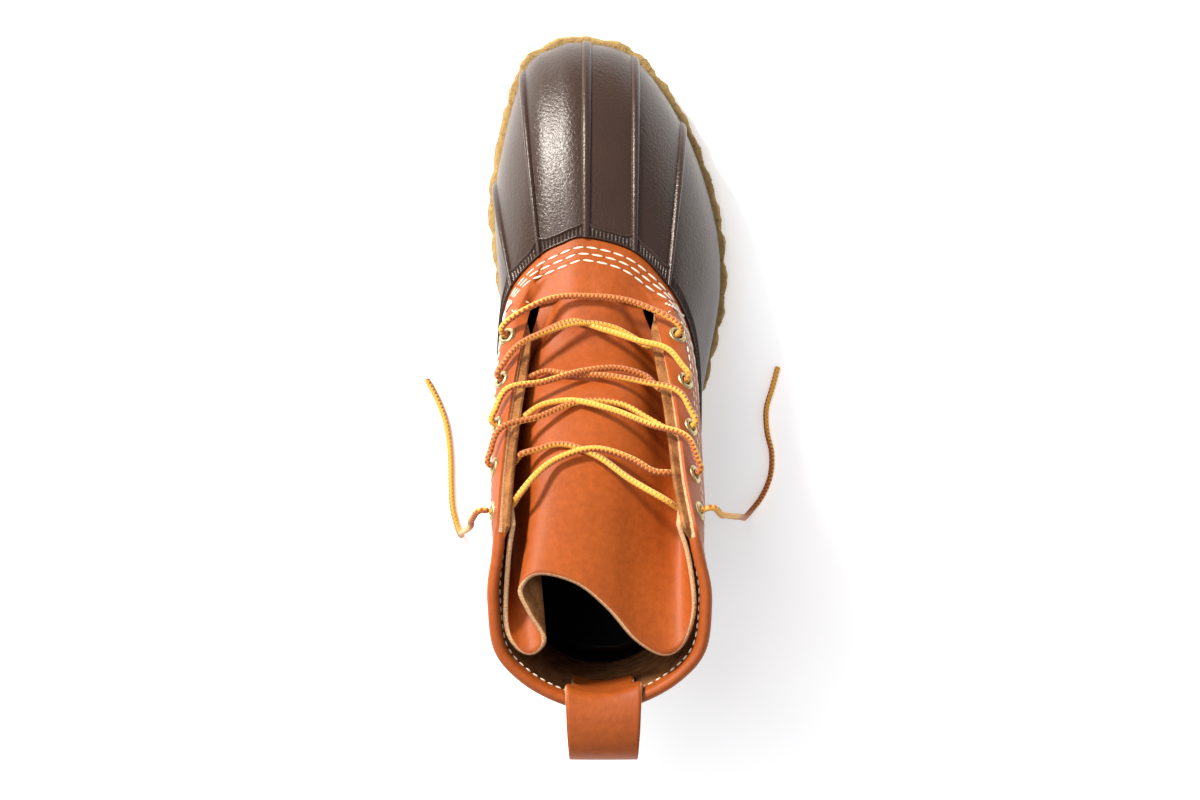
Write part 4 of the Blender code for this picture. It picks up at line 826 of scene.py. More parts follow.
class Finish:
    """A material in the making, with the nodes that its Principled shader needs."""

    def __init__(self, name, roughness, **shader_values):
        self.material = bpy.data.materials.new(name)
        self.material.use_nodes = True
        self.tree = self.material.node_tree
        self.shader = self.tree.nodes["Principled BSDF"]
        self.shader.inputs["Roughness"].default_value = roughness
        for key, value in shader_values.items():
            self.shader.inputs[key.replace("_", " ")].default_value = value

    def feed(self, name, socket):
        self.tree.links.new(socket, self.shader.inputs[name])

    def place(self):
        return add_node(self.tree, "ShaderNodeTexCoord").outputs["Object"]

    def noise(self, size, detail=2.0, roughness=0.5, distortion=0.0):
        """Noise with features of this size in millimetres."""
        inputs = {"Vector": self.place(), "Scale": per_mm(size), "Detail": detail,
                  "Roughness": roughness, "Distortion": distortion}
        return add_node(self.tree, "ShaderNodeTexNoise", inputs).outputs["Fac"]

    def math(self, operation, first, second):
        node = add_node(self.tree, "ShaderNodeMath", {0: first, 1: second}, operation=operation)
        return node.outputs[0]

    def ramp(self, value, low=0.0, high=1.0, to_low=0.0, to_high=1.0):
        """The value's range from low to high, spread over another range."""
        inputs = {"Value": value, "From Min": low, "From Max": high,
                  "To Min": to_low, "To Max": to_high}
        return add_node(self.tree, "ShaderNodeMapRange", inputs).outputs[0]

    def mix(self, share, first, second, **settings):
        """A blend of two colours, each a plain one or another node's."""
        ends = [end if isinstance(end, bpy.types.NodeSocket) else rgba(end)
                for end in (first, second)]
        node = add_node(self.tree, "ShaderNodeMix", {0: share, 6: ends[0], 7: ends[1]},
                        data_type="RGBA", **settings)
        return node.outputs[2]

    def bump(self, height, strength, depth, below=None):
        """Relief of this depth in metres, over the relief below it."""
        inputs = {"Height": height, "Strength": strength, "Distance": depth}
        if below is not None:
            inputs["Normal"] = below
        return add_node(self.tree, "ShaderNodeBump", inputs).outputs["Normal"]


def oiled_leather(colours):
    """Full-grain oiled leather: warm uneven orange tan, soft sheen, fine pores, faint wrinkles."""
    made = Finish("full_grain_oiled_leather", 0.5, Specular_IOR_Level=0.27)
    mottle = made.noise(3.0, 5.0, 0.65)
    grain = add_node(made.tree, "ShaderNodeTexVoronoi",
                     {"Vector": made.place(), "Scale": per_mm(0.9)}, feature="SMOOTH_F1")
    tone = made.mix(made.noise(38, 4.0, 0.6), colours.leather_dark, colours.leather)
    fine = made.ramp(mottle, 0.3, 0.7, 0.84, 1.08)
    made.feed("Base Color", made.mix(1.0, tone, fine, blend_type="MULTIPLY"))
    made.feed("Roughness", made.ramp(mottle, to_low=0.42, to_high=0.62))
    pores = made.bump(grain.outputs["Distance"], 0.25, 0.0002)
    made.feed("Normal", made.bump(mottle, 0.3, 0.0006, pores))
    return made.material


def suede_side(colours):
    """Flesh side of the leather: brown, fibrous and matt, with flecks of light nap."""
    made = Finish("leather_flesh_side", 0.95, Specular_IOR_Level=0.15)
    nap = made.noise(0.9, 6.0, 0.7)
    light = made.ramp(made.math("ADD", nap, made.noise(7, 3.0)), 0.75, 1.25)
    made.feed("Base Color", made.mix(light, colours.suede_dark, colours.suede))
    made.feed("Normal", made.bump(nap, 0.7, 0.0006))
    return made.material


def cut_edge(colours):
    """Raw cut edge of the leather: pale tan fibres, darker in the core."""
    made = Finish("raw_cut_leather_edge", 0.9, Specular_IOR_Level=0.2)
    fibre = made.noise(0.7, 6.0, 0.7)
    light = made.ramp(fibre, 0.35, 0.62)
    made.feed("Base Color", made.mix(light, colours.suede, colours.raw_edge))
    made.feed("Normal", made.bump(fibre, 0.8, 0.0005))
    return made.material


def pebbled_rubber(colours):
    """Moulded brown rubber: dark, dense, with a pebble grain that breaks up the gloss."""
    made = Finish("moulded_pebbled_rubber", 0.4, Specular_IOR_Level=0.42)
    pebble = made.noise(1.35, 3.0, 0.55, 0.4)
    made.feed("Base Color", made.mix(made.noise(45, 3.0), colours.rubber_dark, colours.rubber))
    made.feed("Roughness", made.ramp(pebble, to_low=0.24, to_high=0.38))
    made.feed("Normal", made.bump(pebble, 0.5, 0.0005))
    return made.material


def crepe_rubber(colours):
    """Tan gum rubber of the chain tread: chalky, slightly blotched, soiled in its folds."""
    made = Finish("tan_gum_rubber", 0.72, Specular_IOR_Level=0.35)
    fleck = made.noise(2.4, 4.0, 0.7)
    tone = made.mix(made.noise(6, 5.0, 0.65), colours.sole_dark, colours.sole)
    spots = made.ramp(fleck, 0.54, 0.64, 0.0, 0.7)
    made.feed("Base Color", made.mix(spots, tone, linear("8A5A32")))
    made.feed("Normal", made.bump(fleck, 0.8, 0.0012))
    return made.material


def plated_brass(colours):
    """Antique brass plating on pressed eyelets: pale warm metal, dulled and lightly scratched."""
    made = Finish("antique_brass_plate", 0.34, Metallic=1.0)
    wear = made.noise(1.6, 5.0)
    made.feed("Base Color", made.mix(wear, linear("8E7A4E"), colours.brass))
    made.feed("Roughness", made.ramp(wear, to_low=0.25, to_high=0.5))
    return made.material


def braided_lace(colours):
    """Braided polyester lace: gold and rust yarns over each other, one side with more rust."""
    made = Finish("braided_polyester_lace", 0.62, Sheen_Weight=0.25)
    uv = add_node(made.tree, "ShaderNodeUVMap", uv_map="pattern")
    parts = add_node(made.tree, "ShaderNodeSeparateXYZ", {0: uv.outputs[0]})
    along, round_it = parts.outputs[0], parts.outputs[1]
    waves = []
    for yarns in (LACE_YARNS, -LACE_YARNS):
        turned = made.math("ADD", made.math("MULTIPLY", round_it, yarns), along)
        waves.append(made.math("PINGPONG", turned, 1.0))
    yarn = made.math("MULTIPLY", *waves)
    side = made.math("ADD", made.math("MULTIPLY", along, LACE_TURN), round_it)
    more = made.ramp(made.math("PINGPONG", side, 0.5), 0.14, 0.32, -0.26, 0.34)
    rust = made.ramp(made.math("ADD", yarn, more), 0.24, 0.52)
    made.feed("Base Color", made.mix(rust, colours.lace, colours.lace_fleck))
    made.feed("Normal", made.bump(yarn, 0.5, 0.0004))
    return made.material


def waxed_thread(colours):
    """Waxed polyester thread: off-white, slightly shiny twist, drawn coarse enough to show."""
    made = Finish("waxed_polyester_thread", 0.5)
    made.feed("Base Color", made.mix(made.noise(0.6, 3.0), linear("D9C6A8"), colours.thread))
    return made.material


def black_felt(colours):
    """Needled felt insole: black, matt and fibrous."""
    made = Finish("needled_felt", 0.95, Sheen_Weight=0.15)
    fuzz = made.noise(1.2, 6.0, 0.7)
    made.feed("Base Color", made.mix(fuzz, linear("0A0908"), colours.felt))
    made.feed("Normal", made.bump(fuzz, 0.6, 0.0006))
    return made.material


def studio_floor(colours):
    """Seamless white paper: matt and plain, faintly glowing so that shadows stay light."""
    made = Finish("white_paper_sweep", 0.9, Specular_IOR_Level=0.1,
                  Emission_Color=(1.0, 1.0, 1.0, 1.0), Emission_Strength=0.32)
    made.feed("Base Color", made.mix(made.noise(60), linear("F7F7F7"), colours.floor))
    return made.material


MATERIALS = {
    "leather": oiled_leather, "suede": suede_side, "edge": cut_edge, "rubber": pebbled_rubber,
    "sole": crepe_rubber, "brass": plated_brass, "lace": braided_lace, "thread": waxed_thread,
    "felt": black_felt, "floor": studio_floor,
}
READY = {}


def material_of(kind):
    """The finish of this kind, made when it is first wanted."""
    if kind not in READY:
        READY[kind] = MATERIALS[kind](bpy.context.scene.boot_colours)
    return READY[kind]


# ---------------------------------------------------------------- sizes and colours


def length_property(name, description, value):
    return FloatProperty(name=name, description=description, default=value * MM, unit="LENGTH",
                         precision=5)


def colour_property(name, description, code):
    return FloatVectorProperty(name=name, description=description, default=linear(code), size=3,
                               subtype="COLOR", min=0.0, max=1.0)


class BootSizes(PropertyGroup):
    """Sizes of the boot's details."""

    rib_height: length_property("Rib height", "How far the toe ribs stand out of the rubber", 1.75)
    bead_height: length_property("Bead height", "Height of the raised lines round the rim", 1.15)
    tick_pitch: length_property("Rim tick pitch", "Spacing of the ticks in the rim band", 1.8)
    scallop_depth: length_property("Scallop depth", "Depth of the outsole's edge scallops", 1.3)
    tread_depth: length_property("Tread depth", "Depth of the chain tread", 3.0)
    stitch_pitch: length_property("Stitch pitch", "Spacing of the stitches along the rim", 6.3)
    stitch_length: length_property("Stitch length", "Visible length of a rim stitch", 5.3)
    first_row: length_property("First row", "Distance of the first stitch row from the rim", 4.7)
    row_gap: length_property("Row spacing", "Spacing of the three rim rows", 3.3)
    lace_strand: length_property("Lace strand pitch", "Length of one crossing of the braid", 0.95)
    stitch_rows: IntProperty(name="Rim rows", description="Stitch rows above the rubber", default=3)


class BootColours(PropertyGroup):
    """Colours of the boot's materials."""

    leather: colour_property("Leather", "Lit full-grain leather", "B0561B")
    leather_dark: colour_property("Leather, dark", "Darker clouds of the leather", "8E4012")
    suede: colour_property("Flesh side", "Light fibres of the leather's flesh side", "AC7645")
    suede_dark: colour_property("Flesh side, dark", "Dark fibres of the flesh side", "6C4022")
    raw_edge: colour_property("Raw edge", "Cut edge of the leather", "E6BC92")
    rubber: colour_property("Rubber", "Brown moulded rubber", "3D2A20")
    rubber_dark: colour_property("Rubber, dark", "Darker clouds of the rubber", "2C1D16")
    sole: colour_property("Outsole", "Tan gum rubber", "BE9F66")
    sole_dark: colour_property("Outsole, dark", "Darker blotches of the gum rubber", "977744")
    thread: colour_property("Thread", "Waxed thread", "F6EEDF")
    brass: colour_property("Brass", "Eyelets", "D6C79A")
    lace: colour_property("Lace", "Gold yarns of the lace", "EBAA3A")
    lace_fleck: colour_property("Lace fleck", "Rust yarns of the lace", "A04414")
    felt: colour_property("Felt", "Insole", "1E1B19")
    floor: colour_property("Floor", "Studio floor", "FFFFFF")


# ---------------------------------------------------------------- camera, light, floor


class BOOT_OT_stage(Operator):
    """Studio floor, lights and the camera straight above the boot"""

    bl_idname = "boot.stage"
    bl_label = "Stage"

    def execute(self, context):
        camera = bpy.data.objects.new("camera", bpy.data.cameras.new("camera"))
        camera.data.lens = CAMERA_LENS
        camera.data.sensor_width = SENSOR_WIDTH
        camera.location = CAMERA_PLACE
        context.scene.collection.objects.link(camera)
        context.scene.camera = camera

        bm = bmesh.new()
        bmesh.ops.create_grid(bm, x_segments=4, y_segments=4, size=FLOOR_HALF)
        mesh = bpy.data.meshes.new("floor")
        bm.to_mesh(mesh)
        bm.free()
        mesh.materials.append(material_of("floor"))
        floor = bpy.data.objects.new("floor", mesh)
        context.scene.collection.objects.link(floor)

        for name, place, size, power, colour in LAMPS:
            lamp = bpy.data.lights.new(name, "AREA")
            lamp.shape = "SQUARE"
            lamp.size = size
            lamp.energy = power
            lamp.color = linear(colour)
            light = bpy.data.objects.new(name, lamp)
            light.location = place
            aim = LAMP_AIM - Vector(place)
            light.rotation_euler = aim.to_track_quat("-Z", "Y").to_euler()
            context.scene.collection.objects.link(light)
        world = bpy.data.worlds.new("studio")
        world.use_nodes = True
        background = world.node_tree.nodes["Background"]
        background.inputs["Color"].default_value = rgba(linear("F4F6FA"))
        background.inputs["Strength"].default_value = 0.45
        context.scene.world = world
        context.scene.view_settings.view_transform = "Standard"
        return {"FINISHED"}


# ---------------------------------------------------------------- lace


def lace_end_points(facing, rows, way):
    """The middle of a free lace end, from just outside its eyelet."""
    centre, normal = eyelet_place(facing, EYELET_ROWS - 1)
    path = [centre + normal * height for height in FREE_END_HEIGHTS]
    for away, ahead, height in rows:
        path.append(np.array([centre[0] + way * away, centre[1] + ahead, height]))
    line = smooth_path(path, 20, LACE_BEND, 8)
    line[:, 2] = np.maximum(line[:, 2], LACE_DIAMETER / 2)
    return line


def strand_points(start, other):
    """One strand from its first eyelet, crossing from facing to facing, out of its top eyelet."""
    facings = (start, other)
    path = []
    for row in range(EYELET_ROWS - 1):
        here, there = facings[row % 2], facings[(row + 1) % 2]
        centre, normal = eyelet_place(here, row)
        along = along_facing(here, row)
        path += [centre + normal * STRAND_START, centre + normal * STRAND_DOWN]
        outer_side = here == OUTER_FACING
        leaving = OUTER_LEAVING if outer_side else INNER_LEAVING
        path.append(near_facing(here, along + leaving * 0.5, *BEHIND_FACING))
        low = near_facing(here, along + leaving, *BELOW_BAND[outer_side][row])
        path.append(low)
        along = along_facing(there, row + 1)
        top = row == EYELET_ROWS - 2
        if top:
            high = near_facing(there, along + TOP_LEAVING, *BELOW_BAND[not outer_side][-1])
        else:
            high = near_facing(there, along + OVER_EDGE[0], OVER_EDGE[1], LACE_OVER_EDGE)
        over = outer_side != (row == 2)
        arches = CROSSING_ARCHES[row][outer_side]
        for share, arch, lift in zip(ARCH_SHARES, arches, PASSING_OVER):
            rise = CROSSING_REST * 4 * share * (1 - share) - CROSSING_SLOPE * arch + lift * over
            path.append(low + (high - low) * share + np.array([0.0, arch, rise]))
        path.append(high)
        if top:
            path.append(near_facing(there, along + TOP_LEAVING * 0.5, *BEHIND_TOP))
            centre, normal = eyelet_place(there, row + 1)
            path += [centre + normal * STRAND_UP, centre + normal * STRAND_OUT]
        else:
            path.append(near_facing(there, along + TO_EYELET[0], TO_EYELET[1], LACE_TO_EYELET))
            path.append(near_facing(there, along - SHORT_OF_EYELET, EYELET_INSET - SHORT_OF_EYELET,
                                    LACE_OVER_EYELET))
    return path


class BOOT_OT_lace(Operator):
    """Braided lace: first bar, crossings through the eyelets, and two free ends"""

    bl_idname = "boot.lace"
    bl_label = "Lace"

    def execute(self, context):
        pitch = context.scene.boot_sizes.lace_strand / MM
        radius = LACE_DIAMETER / 2
        for side, facing, rows, way in (
            ("outer", OUTER_FACING, LACE_END_OUTER, 1),
            ("inner", INNER_FACING, LACE_END_INNER, -1),
        ):
            points = lace_end_points(facing, rows, way)
            name = f"lace_end_{side}"
            bm = tube_along(points, radius, pitch, start=FREE_END_PATTERN)
            piece = finish_piece(f"{name}_cord", bm, ["lace"], [name], 60)
            line = framed(points)

        inner, outer = (
            near_facing(f, along_facing(f, 0) + BAR_START, EYELET_INSET, LACE_OVER_EYELET)
            for f in (INNER_FACING, OUTER_FACING)
        )
        bar = [inner]
        for share, arch in zip(BAR_SHARES, BAR_ARCHES):
            sag = np.array([0.0, arch, BAR_RISE - BAR_SLOPE * arch])
            bar.append(inner + (outer - inner) * share + sag)
        first = strand_points(INNER_FACING, OUTER_FACING)
        second = strand_points(OUTER_FACING, INNER_FACING)
        whole = first[::-1] + bar + [outer] + second
        bm = tube_along(whole, radius, pitch)
        nodes = ["lace_bar"] + [f"lace_crossing_{k}" for k in range(1, EYELET_ROWS)]
        finish_piece("lace_runs", bm, ["lace"], nodes, 60)
        return {"FINISHED"}


# ---------------------------------------------------------------- outsole


class BOOT_OT_outsole(Operator):
    """Tan outsole with a scalloped edge and a wavy chain tread"""

    bl_idname = "boot.outsole"
    bl_label = "Outsole"

    def execute(self, context):
        sizes = context.scene.boot_sizes
        scallop, tread = sizes.scallop_depth / MM, sizes.tread_depth / MM
        count = SCALLOPS * 12
        us = np.linspace(0.0, STATIONS, STATIONS * 12 + 1)
        lengths = lengths_along(sole_outline(us))
        lengths = lengths / lengths[-1]
        shares = np.linspace(0.0, 1.0, count + 1)
        u = np.interp(shares, lengths, us)
        wave = np.abs(np.cos(math.pi * SCALLOPS * shares))
        uneven = np.random.default_rng(11).uniform(0.45, 1.45, SCALLOPS + 1)
        uneven[-1] = uneven[0]
        wave = 1 - (1 - wave) * np.interp(shares * SCALLOPS, np.arange(SCALLOPS + 1), uneven)
        edge = sole_outline(u)
        out = outward(u)
        low_y, high_y = 0.07 * BOOT_LENGTH, 0.90 * BOOT_LENGTH
        spine_y = np.clip((edge[:, 1] + edge[::-1, 1]) / 2, low_y, high_y)
        spine_x = np.interp(spine_y, [low_y, 0.4 * BOOT_LENGTH, high_y], [0.0, 3.0, -6.0])
        spine = np.stack([spine_x, spine_y], -1)
        rng = np.random.default_rng(5)
        wobble = np.convolve(rng.normal(0, 1, count + 9), np.ones(8) / 8, "valid")[:count + 1]
        wobble[-1] = wobble[0]
        rings = []

        def ring(inset, height, scalloped=1.0):
            """A ring at the edge, this far inside its outline; its crumb is drawn at random."""
            crumb = np.convolve(rng.normal(0, 0.5, count + 3), np.ones(3) / 3, "valid")
            crumb[-1] = crumb[0]
            depth = inset + scallop * scalloped * (1 - wave) + scalloped * crumb
            xy = edge - out * depth[:, None]
            rings.append(flat(xy, height(xy[:, 1])))

        def inner_ring(part, height):
            base = edge - out * TREAD_INSET
            xy = spine + (base - spine) * part
            rings.append(flat(xy, height(xy)))

        def tread_face(xy):
            """The chain tread: wavy bars with grooves between, plain at the arch."""
            x, y = xy[:, 0], xy[:, 1]
            wavy = np.sin(x / BALL_WIDTH * 6 * math.pi)
            bars = y / TREAD_PITCH * 2 + TREAD_WAVE / TREAD_PITCH * 2 * wavy
            groove = smooth_step(np.cos(bars * math.pi), -0.1, 0.5)
            arch = smooth_step(y, 0.29 * BOOT_LENGTH, 0.32 * BOOT_LENGTH) * (
                1 - smooth_step(y, 0.46 * BOOT_LENGTH, 0.49 * BOOT_LENGTH))
            return sole_bottom(y) + tread * groove * (1 - arch)

        for part in np.linspace(0.0, 1.0, 34):
            inner_ring(part, tread_face)
        for inset, lift in EDGE_BOTTOM:
            ring(inset, lambda y: sole_bottom(y) + lift)
        for part in (0.3, 0.5, 0.7):
            ring(0.35 * math.sin(part * math.pi),
                 lambda y: sole_bottom(y) * (1 - part) + sole_top(y) * part)
        for inset, lift, waviness, scalloped in EDGE_TOP:
            ring(inset, lambda y: sole_top(y) + lift + waviness * wobble, scalloped)
        for part in np.linspace(0.9, 0.0, 6):
            inner_ring(part, lambda xy: sole_top(xy[:, 1]) - 0.2)
        bm = moved_grid(np.array(rings).transpose(1, 0, 2))
        outward_faces(bm)
        finish_piece("chain_tread_outsole", bm, ["sole"], ["outsole"], 50)
        return {"FINISHED"}


# ---------------------------------------------------------------- rubber bottom


def rubber_columns():
    """Positions round the rubber, closer together at the ribs."""
    found = set(np.round(np.arange(0, STATIONS, 1 / 7), 4))
    spread = np.array([0.0, 0.15, 0.3, 0.45, 0.6, 0.75, 0.9, 1.05, 1.25, 1.6, 2.1, 2.8])
    for station in RIB_STATIONS:
        reach = rib_reach(station)
        found = {u for u in found if abs((u - station + 10) % 20 - 10) > reach * 3}
        found |= {round((station + side * reach * s) % STATIONS, 5)
                  for side in (-1, 1) for s in spread}
    columns = np.array(sorted(found))
    return np.concatenate([columns, [columns[0] + STATIONS]])


class BOOT_OT_rubber_bottom(Operator):
    """Moulded rubber bottom with toe ribs and a ticked band round its rim"""

    bl_idname = "boot.rubber_bottom"
    bl_label = "Rubber Bottom"

    def execute(self, context):
        sizes = context.scene.boot_sizes
        columns = rubber_columns()
        shares = np.concatenate([np.linspace(0.0, 0.2, 14), np.linspace(0.2, 1.0, 52)[1:]])
        rib_height, bead = sizes.rib_height / MM, sizes.bead_height / MM
        rows = []
        foot = foot_line(columns)
        middle_y = np.clip(foot[:, 1], 0.08 * BOOT_LENGTH, 0.88 * BOOT_LENGTH)
        for part in (0.02, 0.35, 0.7, 0.93):
            xy = foot[:, :2] * part + np.stack([np.zeros_like(middle_y), middle_y], -1) * (1 - part)
            rows.append(flat(xy, sole_top(xy[:, 1]) + SEAT_GAP))
        for v in shares:
            ends = smooth_step(v, 0.03, 0.13)
            lift = np.zeros_like(columns)
            for station in RIB_STATIONS:
                away = np.abs((columns - station + STATIONS / 2) % STATIONS - STATIONS / 2)
                away = away / rib_reach(station)
                crest = np.where(away < 1.0, np.sqrt(np.clip(1 - away**2.0, 0, 1)), 0.0)
                lift = np.maximum(lift, rib_height * crest * ends)
            rows.append(offset_point(rubber_surface, columns, np.full_like(columns, v), lift))
        rows.append(at_rim(columns, np.full_like(columns, -LEATHER)))
        bm = moved_grid(np.array(rows).transpose(1, 0, 2), flip=True)
        finish_piece("rubber_bottom_shell", bm, ["rubber"], ["rubber_bottom"], 45,
                     wall=(RUBBER_SHELL, -1))
        self.add_rim_band(sizes, bead)
        return {"FINISHED"}

    def add_rim_band(self, sizes, bead):
        """The band below the leather: a fine line, ticks, and a raised line that joins the ribs."""
        us = np.linspace(0.0, STATIONS, 2401)
        lengths = lengths_along(rim_line(us))
        ticks = round(lengths[-1] / (sizes.tick_pitch / MM))
        places = np.linspace(0, lengths[-1], ticks * 4 + 1)
        u = np.interp(places, lengths, us)
        tick = np.clip(np.cos(np.arange(ticks * 4 + 1) * math.pi / 2), 0, 1)
        flare = np.zeros_like(u)
        for station in RIB_STATIONS:
            away = np.interp(station, us, lengths)
            gap = np.abs((places - away + lengths[-1] / 2) % lengths[-1] - lengths[-1] / 2)
            flare = np.maximum(flare, 2.0 * np.exp(-(gap / 3.2) ** 2))
        # distance below the rim, height over the rubber, share of the flare, share of the tick
        profile = (
            (-0.1, -0.6, 0, 0), (0.0, 0.55, 0, 0), (0.35, bead, 0, 0), (0.8, bead * 0.9, 0, 0),
            (1.05, 0.16, 0, 0.2), (1.3, 0.10, 0, 1), (2.5, 0.08, 0.3, 1), (3.7, 0.10, 0.8, 1),
            (4.0, 0.20, 1, 0.2), (4.35, bead * 0.85, 1, 0), (4.8, bead, 1, 0),
            (5.25, bead * 0.75, 1, 0), (5.7, 0.1, 1, 0), (5.9, -0.5, 1, 0),
        )
        rows = []
        for distance, height, flared, ticked in profile:
            v = below_rim(u, np.maximum(distance, 0.0) + flare * flared)
            rows.append(offset_point(rubber_surface, u, v, height + 0.62 * tick * ticked))
        bm = moved_grid(np.array(rows).transpose(1, 0, 2))
        finish_piece("rim_band", bm, ["rubber"], smooth_angle=60)


# ---------------------------------------------------------------- leather upper


def upper_columns():
    """Positions round the leather, with the corners of throat and collar among them."""
    spans = ((0.0, 1.5, 26), (1.5, 6.8, 96), (6.8, 10.0, 60), (10.0, 13.2, 60), (13.2, 18.4, 96),
             (18.4, 20.0, 26))
    parts = [np.linspace(a, b, n, endpoint=False) for a, b, n in spans]
    return np.concatenate(parts + [[20.0]])


class BOOT_OT_upper(Operator):
    """Leather vamp and shaft with doubled facings, a raw inner edge and a turned collar"""

    bl_idname = "boot.upper"
    bl_label = "Leather Upper"

    def execute(self, context):
        sizes = context.scene.boot_sizes
        u = upper_columns()
        collar, vamp = on_collar(u), 1 - off_vamp(u)
        facing = np.clip(1 - collar - vamp, 0, 1)
        rows, kinds = [], []

        def add(points, kind):
            rows.append(points)
            kinds.append(kind)

        groove = [sizes.first_row / MM + k * sizes.row_gap / MM for k in range(sizes.stitch_rows)]
        near = [0.0, 0.5, 1.2, 2.4, 3.6]
        for place in groove:
            near += [place - 0.7, place - 0.35, place, place + 0.35, place + 0.7]
        last = near[-1] + 0.8
        near.append(last)
        for distance in near:
            dent = max([0.0] + [0.28 * float(hump(distance - g, 0.75)) for g in groove])
            w = above_rim(u, distance)
            start = at_rim(u, np.zeros_like(u), np.full_like(u, SEAT_GAP))
            point = offset_point(leather_surface, u, w, -dent)
            add(start if distance == 0.0 else point, "leather")
        low = above_rim(u, last)
        for t in np.linspace(0.0, 1.0, 40)[1:]:
            w = low + (1 - low) * t
            top_gap = self.below(u, w)
            ridge = 0.45 * (facing * (1 - smooth_step(top_gap, FACING_WIDTH, FACING_WIDTH + 1.2)))
            ridge = ridge + 0.35 * collar * (1 - smooth_step(top_gap, 6.5, 7.8))
            lift = ridge * smooth_step(t, 0.0, 0.08)
            corners = np.maximum(hump(u - OUTER_FACING[0], 1.0), hump(u - INNER_FACING[0], 1.0))
            spread = 0.34 * corners * (1 - t)
            beside = [offset_point(leather_surface, u + side * spread, w, lift)
                      for side in (-1, -0.5, 0, 0.5, 1)]
            add(sum(beside) / len(beside), "leather")

        # Over the top: distance above the line and depth, for collar, facing and the vamp's throat.
        crest = (
            ((0.9, 0.2), (0.25, 0.2), (0.2, 0.2), "leather"),
            ((1.7, 0.9), (0.35, 0.7), (0.3, 0.7), "leather"),
            ((2.1, 2.0), (0.35, 1.5), (0.3, 1.4), "edge"),
            ((1.9, 3.0), (0.1, 2.0), (0.1, 2.0), "edge"),
            ((1.2, 3.9), (0.5, 2.2), (0.0, 2.2), "suede"),
            ((0.4, 4.3), (2.4, 2.3), (-0.3, 2.2), "suede"),
            ((-1.0, 4.5), (4.2, 2.7), (-0.6, 2.2), "suede"),
            ((-2.5, 4.5), (4.6, 3.7), (-1.2, 2.2), "suede"),
            ((-4.0, 4.4), (3.6, 4.9), (-2.0, 2.2), "suede"),
            ((-5.6, 4.2), (-1.0, 4.8), (-3.0, 2.2), "suede"),
            ((-6.2, 3.6), (-8.0, 4.6), (-4.0, 2.2), "suede"),
            ((-6.3, 2.6), (-14.5, 4.5), (-5.0, 2.2), "suede"),
            ((-6.6, 2.3), (-15.2, 4.1), (-6.0, 2.2), "suede"),
            ((-7.5, 2.2), (-15.4, 2.4), (-7.0, 2.2), "suede"),
        )
        for on_the_collar, on_the_facing, on_the_vamp, kind in crest:
            above, depth = (
                collar * on_the_collar[k] + facing * on_the_facing[k] + vamp * on_the_vamp[k]
                for k in (0, 1)
            )
            w = below_top(u, -above)
            lowest = above_rim(u, 2.0)
            add(offset_point(leather_surface, u, np.maximum(w, lowest), -depth), kind)
        start = below_top(u, -(collar * -7.5 + facing * -15.4 + vamp * -7.0))
        start = np.maximum(start, above_rim(u, 2.0))
        end = above_rim(u, 1.0)
        for t in np.linspace(0.0, 1.0, 12)[1:]:
            add(offset_point(leather_surface, u, start + (end - start) * t, -LEATHER), "suede")
        rows.append(rows[0])
        names = ["leather", "edge", "suede"]
        count = len(kinds)

        def pick(i, j):
            kind = kinds[min(j + 1, count - 1)]
            if collar[i] > 0.5 and j + 1 < count - 12:
                kind = "leather"
            return names.index(kind)

        bm = moved_grid(np.array(rows).transpose(1, 0, 2), pick=pick)
        outward_faces(bm)
        for side in (OUTER_FACING, INNER_FACING):
            for row in range(EYELET_ROWS):
                open_hole(bm, *eyelet_place(side, row), EYELET_HOLE)
        finish_piece("leather_upper", bm, names, ["upper"], 50)
        return {"FINISHED"}

    def below(self, u, w):
        """Distance below the top line, for each position at its share."""
        shares = np.linspace(1.0, 0.0, 25)
        points = leather_surface(u[:, None], shares)
        steps = np.linalg.norm(np.diff(points, axis=1), axis=2)
        lengths = np.concatenate([np.zeros((len(u), 1)), np.cumsum(steps, axis=1)], axis=1)
        return np.array([np.interp(1 - w[i], 1 - shares, lengths[i]) for i in range(len(u))])


def round_on_leather(u, w, radius, angles):
    """Positions on a circle round a place on the leather; 0 points along the rim, 90 degrees up."""
    along_u, along_w = leather_slopes(u, w)
    level = unit(along_u)
    upward = unit(along_w - level * (along_w * level).sum())
    places = np.stack([along_u, along_w], -1)
    aims = radius * (np.cos(angles)[:, None] * level + np.sin(angles)[:, None] * upward)
    moves = np.linalg.lstsq(places, aims.T, rcond=None)[0]
    return u + moves[0], w + moves[1]


